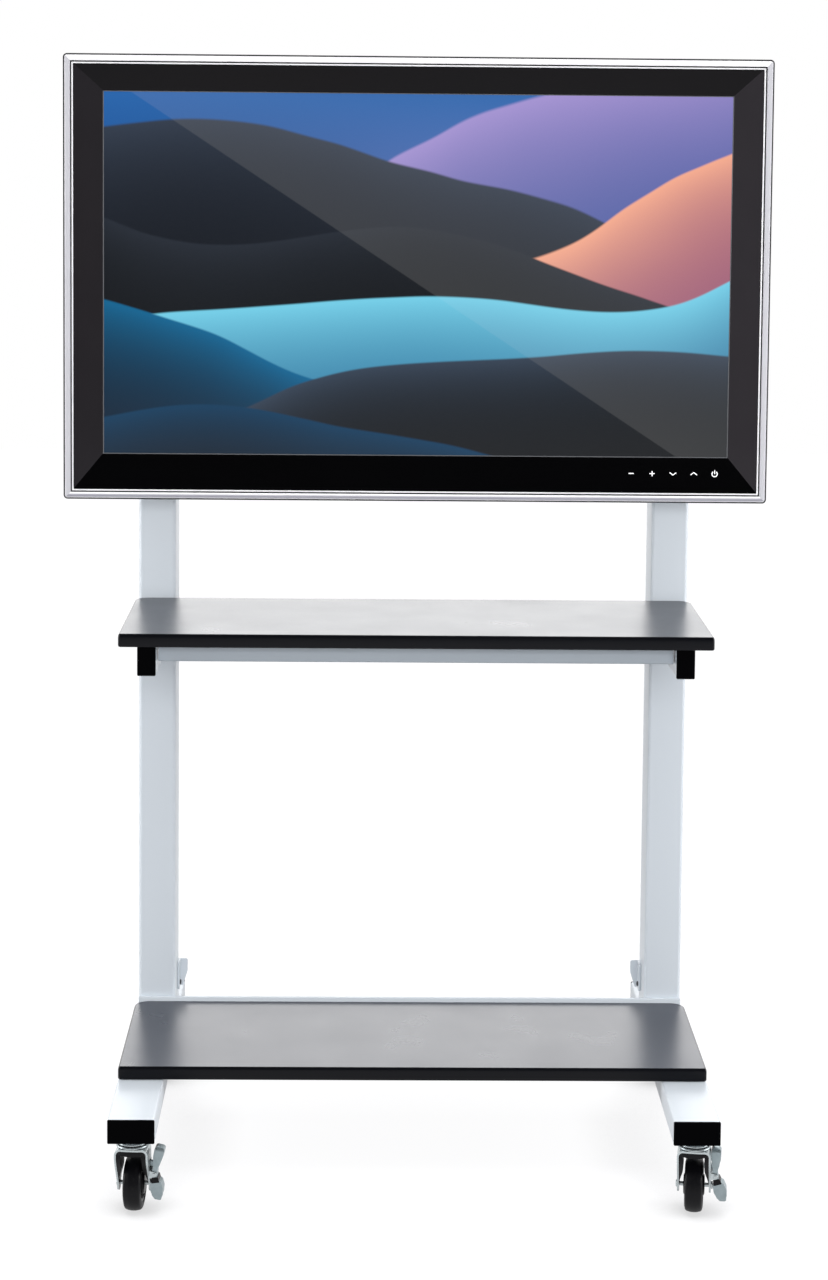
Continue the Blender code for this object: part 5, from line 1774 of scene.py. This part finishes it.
def tab_outline(length, lean, upward, widths, tip, inner=1.0):
    """A tab's side view from the pin: half widths at even steps along it, then a round tip."""
    stations = []
    straight = length - tip
    for i in range(TAB_STEPS + 1):
        along = straight * i / TAB_STEPS
        share = i / TAB_STEPS * (len(widths) - 1)
        k = min(int(share), len(widths) - 2)
        blend = share - k
        blend = blend * blend * (3 - 2 * blend)
        stations.append((along, widths[k] * (1 - blend) + widths[k + 1] * blend))
    stations += [(straight + tip * math.sin(t), widths[-1] * math.cos(t)) for t in swings(10, 81, 10)]
    angle = math.radians(lean)
    direction = Vector((math.sin(angle), upward * math.cos(angle)))
    across = Vector((math.cos(angle), -upward * math.sin(angle)))
    right = [direction * along + across * half for along, half in stations]
    left = [direction * along - across * half * inner for along, half in reversed(stations)]
    return [tuple(point) for point in right + [direction * length] + left]


def place_on_pin(mesh, name, turn, tilt):
    """Moves a mesh from the pedal's own frame, with its origin on the pin, to its place."""
    mesh.transform(Matrix.Translation(PIN_PLACE) @ Matrix.Rotation(math.radians(tilt), 4, "Y"))
    return place_in_caster(mesh, name, turn)


def pedal_piece(mesh, label, name, turn, tilt, finish, **looks):
    """A finished piece of the pedal, from the pedal's own frame."""
    place_on_pin(mesh, name, turn, tilt)
    piece(f"{name}_{label}", mesh, f"{name}_brake", finish, **looks)


def pedal_tab(outline, low, round_share, others):
    """A tab of the pedal with a round end, and its faces towards the fork marked."""
    half = PEDAL_WIDTH / 2
    end = prism(rounded_rectangle(-half, half, -low, PEDAL_UPPER, half * round_share), "X", -1, 1)
    mesh = combined(prism(outline, "Y", -half, half), [("INTERSECT", end)] + others)
    shade_inner_faces(mesh, lambda centre, normal: normal.x < -0.4)
    return mesh


def pedal_sleeve():
    """The dark sleeve on the root of the lower tab."""
    angle = math.radians(PEDAL_LOWER_LEAN)
    axis = Vector((math.sin(angle), -math.cos(angle)))
    across = Vector((math.cos(angle), math.sin(angle)))
    corners = []
    for along, side in ((SLEEVE[0], -1), (SLEEVE[1], -1), (SLEEVE[1], 1), (SLEEVE[0], 1)):
        wide = SLEEVE_HALF * (SLEEVE_FLARE if along == SLEEVE[1] else 1.0)
        corners.append(tuple(axis * along + across * side * wide))
    reach = PEDAL_WIDTH / 2 + 0.0004
    sleeve = prism(rounded_path(corners, SLEEVE_CORNER), "Y", -reach, reach)
    return combined(sleeve, [("DIFFERENCE", nut_room())])


def brake_pin(name, turn):
    half = PEDAL_WIDTH / 2 + EAR_GAP + EAR_SHEET + 0.0003
    profile = [(PIN_HEAD - 0.0004, -half - 0.0010), (PIN_HEAD, -half - 0.0006), (PIN_HEAD, -half)]
    profile.append((PIN_RADIUS, -half))
    pin = place_on_pin(turned("Y", mirrored(profile), steps=24), name, turn, 0)
    piece(f"{name}_pin", pin, f"{name}_swivel", "zinc", [f"{name}_brake_pin"])


def brake_pedal(name, turn, tilt):
    """The rocking pedal: an upper tab with a nose that reaches the tyre, a lower shield and a dark sleeve."""
    half = PEDAL_WIDTH / 2
    reach = PIN_PLACE[0] - TYRE_WIDTH / 2 - NOSE_GAP
    side = rounded_rectangle(-reach, 0, NOSE_RISE - NOSE_HALF_HIGH, NOSE_RISE + NOSE_HALF_HIGH, 0.001, 3)
    nose = prism(side, "Y", -NOSE_HALF_WIDE, NOSE_HALF_WIDE)
    barrel = turned("Y", [(PEDAL_BARREL, -half), (PEDAL_BARREL, half)], steps=32)
    outline = tab_outline(PEDAL_UPPER, PEDAL_UPPER_LEAN, 1, UPPER_TAB, UPPER_TIP)
    upper = pedal_tab(outline, PEDAL_LOWER, 0.8, [("UNION", barrel), ("UNION", nose)])
    looks = {"slot": "zinc", "steps": 4}
    pedal_piece(upper, "upper_tab", name, turn, tilt, "dull_zinc", stands_for=[f"{name}_brake_pedal"],
                soften=0.0012, **looks)
    outline = tab_outline(PEDAL_LOWER, PEDAL_LOWER_LEAN, -1, LOWER_TAB, LOWER_TIP, LOWER_INNER)
    drop = PEDAL_LOWER * math.cos(math.radians(PEDAL_LOWER_LEAN))
    lower = pedal_tab(outline, drop, 0.6, [("DIFFERENCE", nut_room())])
    pedal_piece(lower, "lower_tab", name, turn, tilt, "dull_zinc", soften=0.0018, **looks)
    pedal_piece(pedal_sleeve(), "pedal_sleeve", name, turn, tilt, "core_plastic", soften=0.0006)
    brake_pin(name, turn)


def casters():
    for name, turn, tilt in CASTERS:
        upper_race(name)
        fork(name, f"{name}_swivel", turn, tilt is not None)
        fork_dark_lining(name, f"{name}_swivel", turn, tilt is not None)
        race_shade_rings(name, f"{name}_swivel", turn)
        axle_bolt(name, f"{name}_swivel", turn)
        tread_ring(name, f"{name}_wheel", turn)
        wheel_core(name, f"{name}_wheel", turn)
        if tilt is not None:
            brake_pedal(name, turn, tilt)


make_camera()
make_world()
make_lamps()
make_floor()
for finish_name, maker in FINISH_MAKERS.items():
    FINISH[finish_name] = maker()
dress_nodes()
feet()
posts()
crossbar()
arms()
apron()
shelves()
display_frame()
bezel()
screen()
touch_signs()
back_cover()
cover_screws()
brackets()
frame_bolts()
rails()
hook_arms()
casters()
bpy.context.scene.view_settings.view_transform = "Standard"
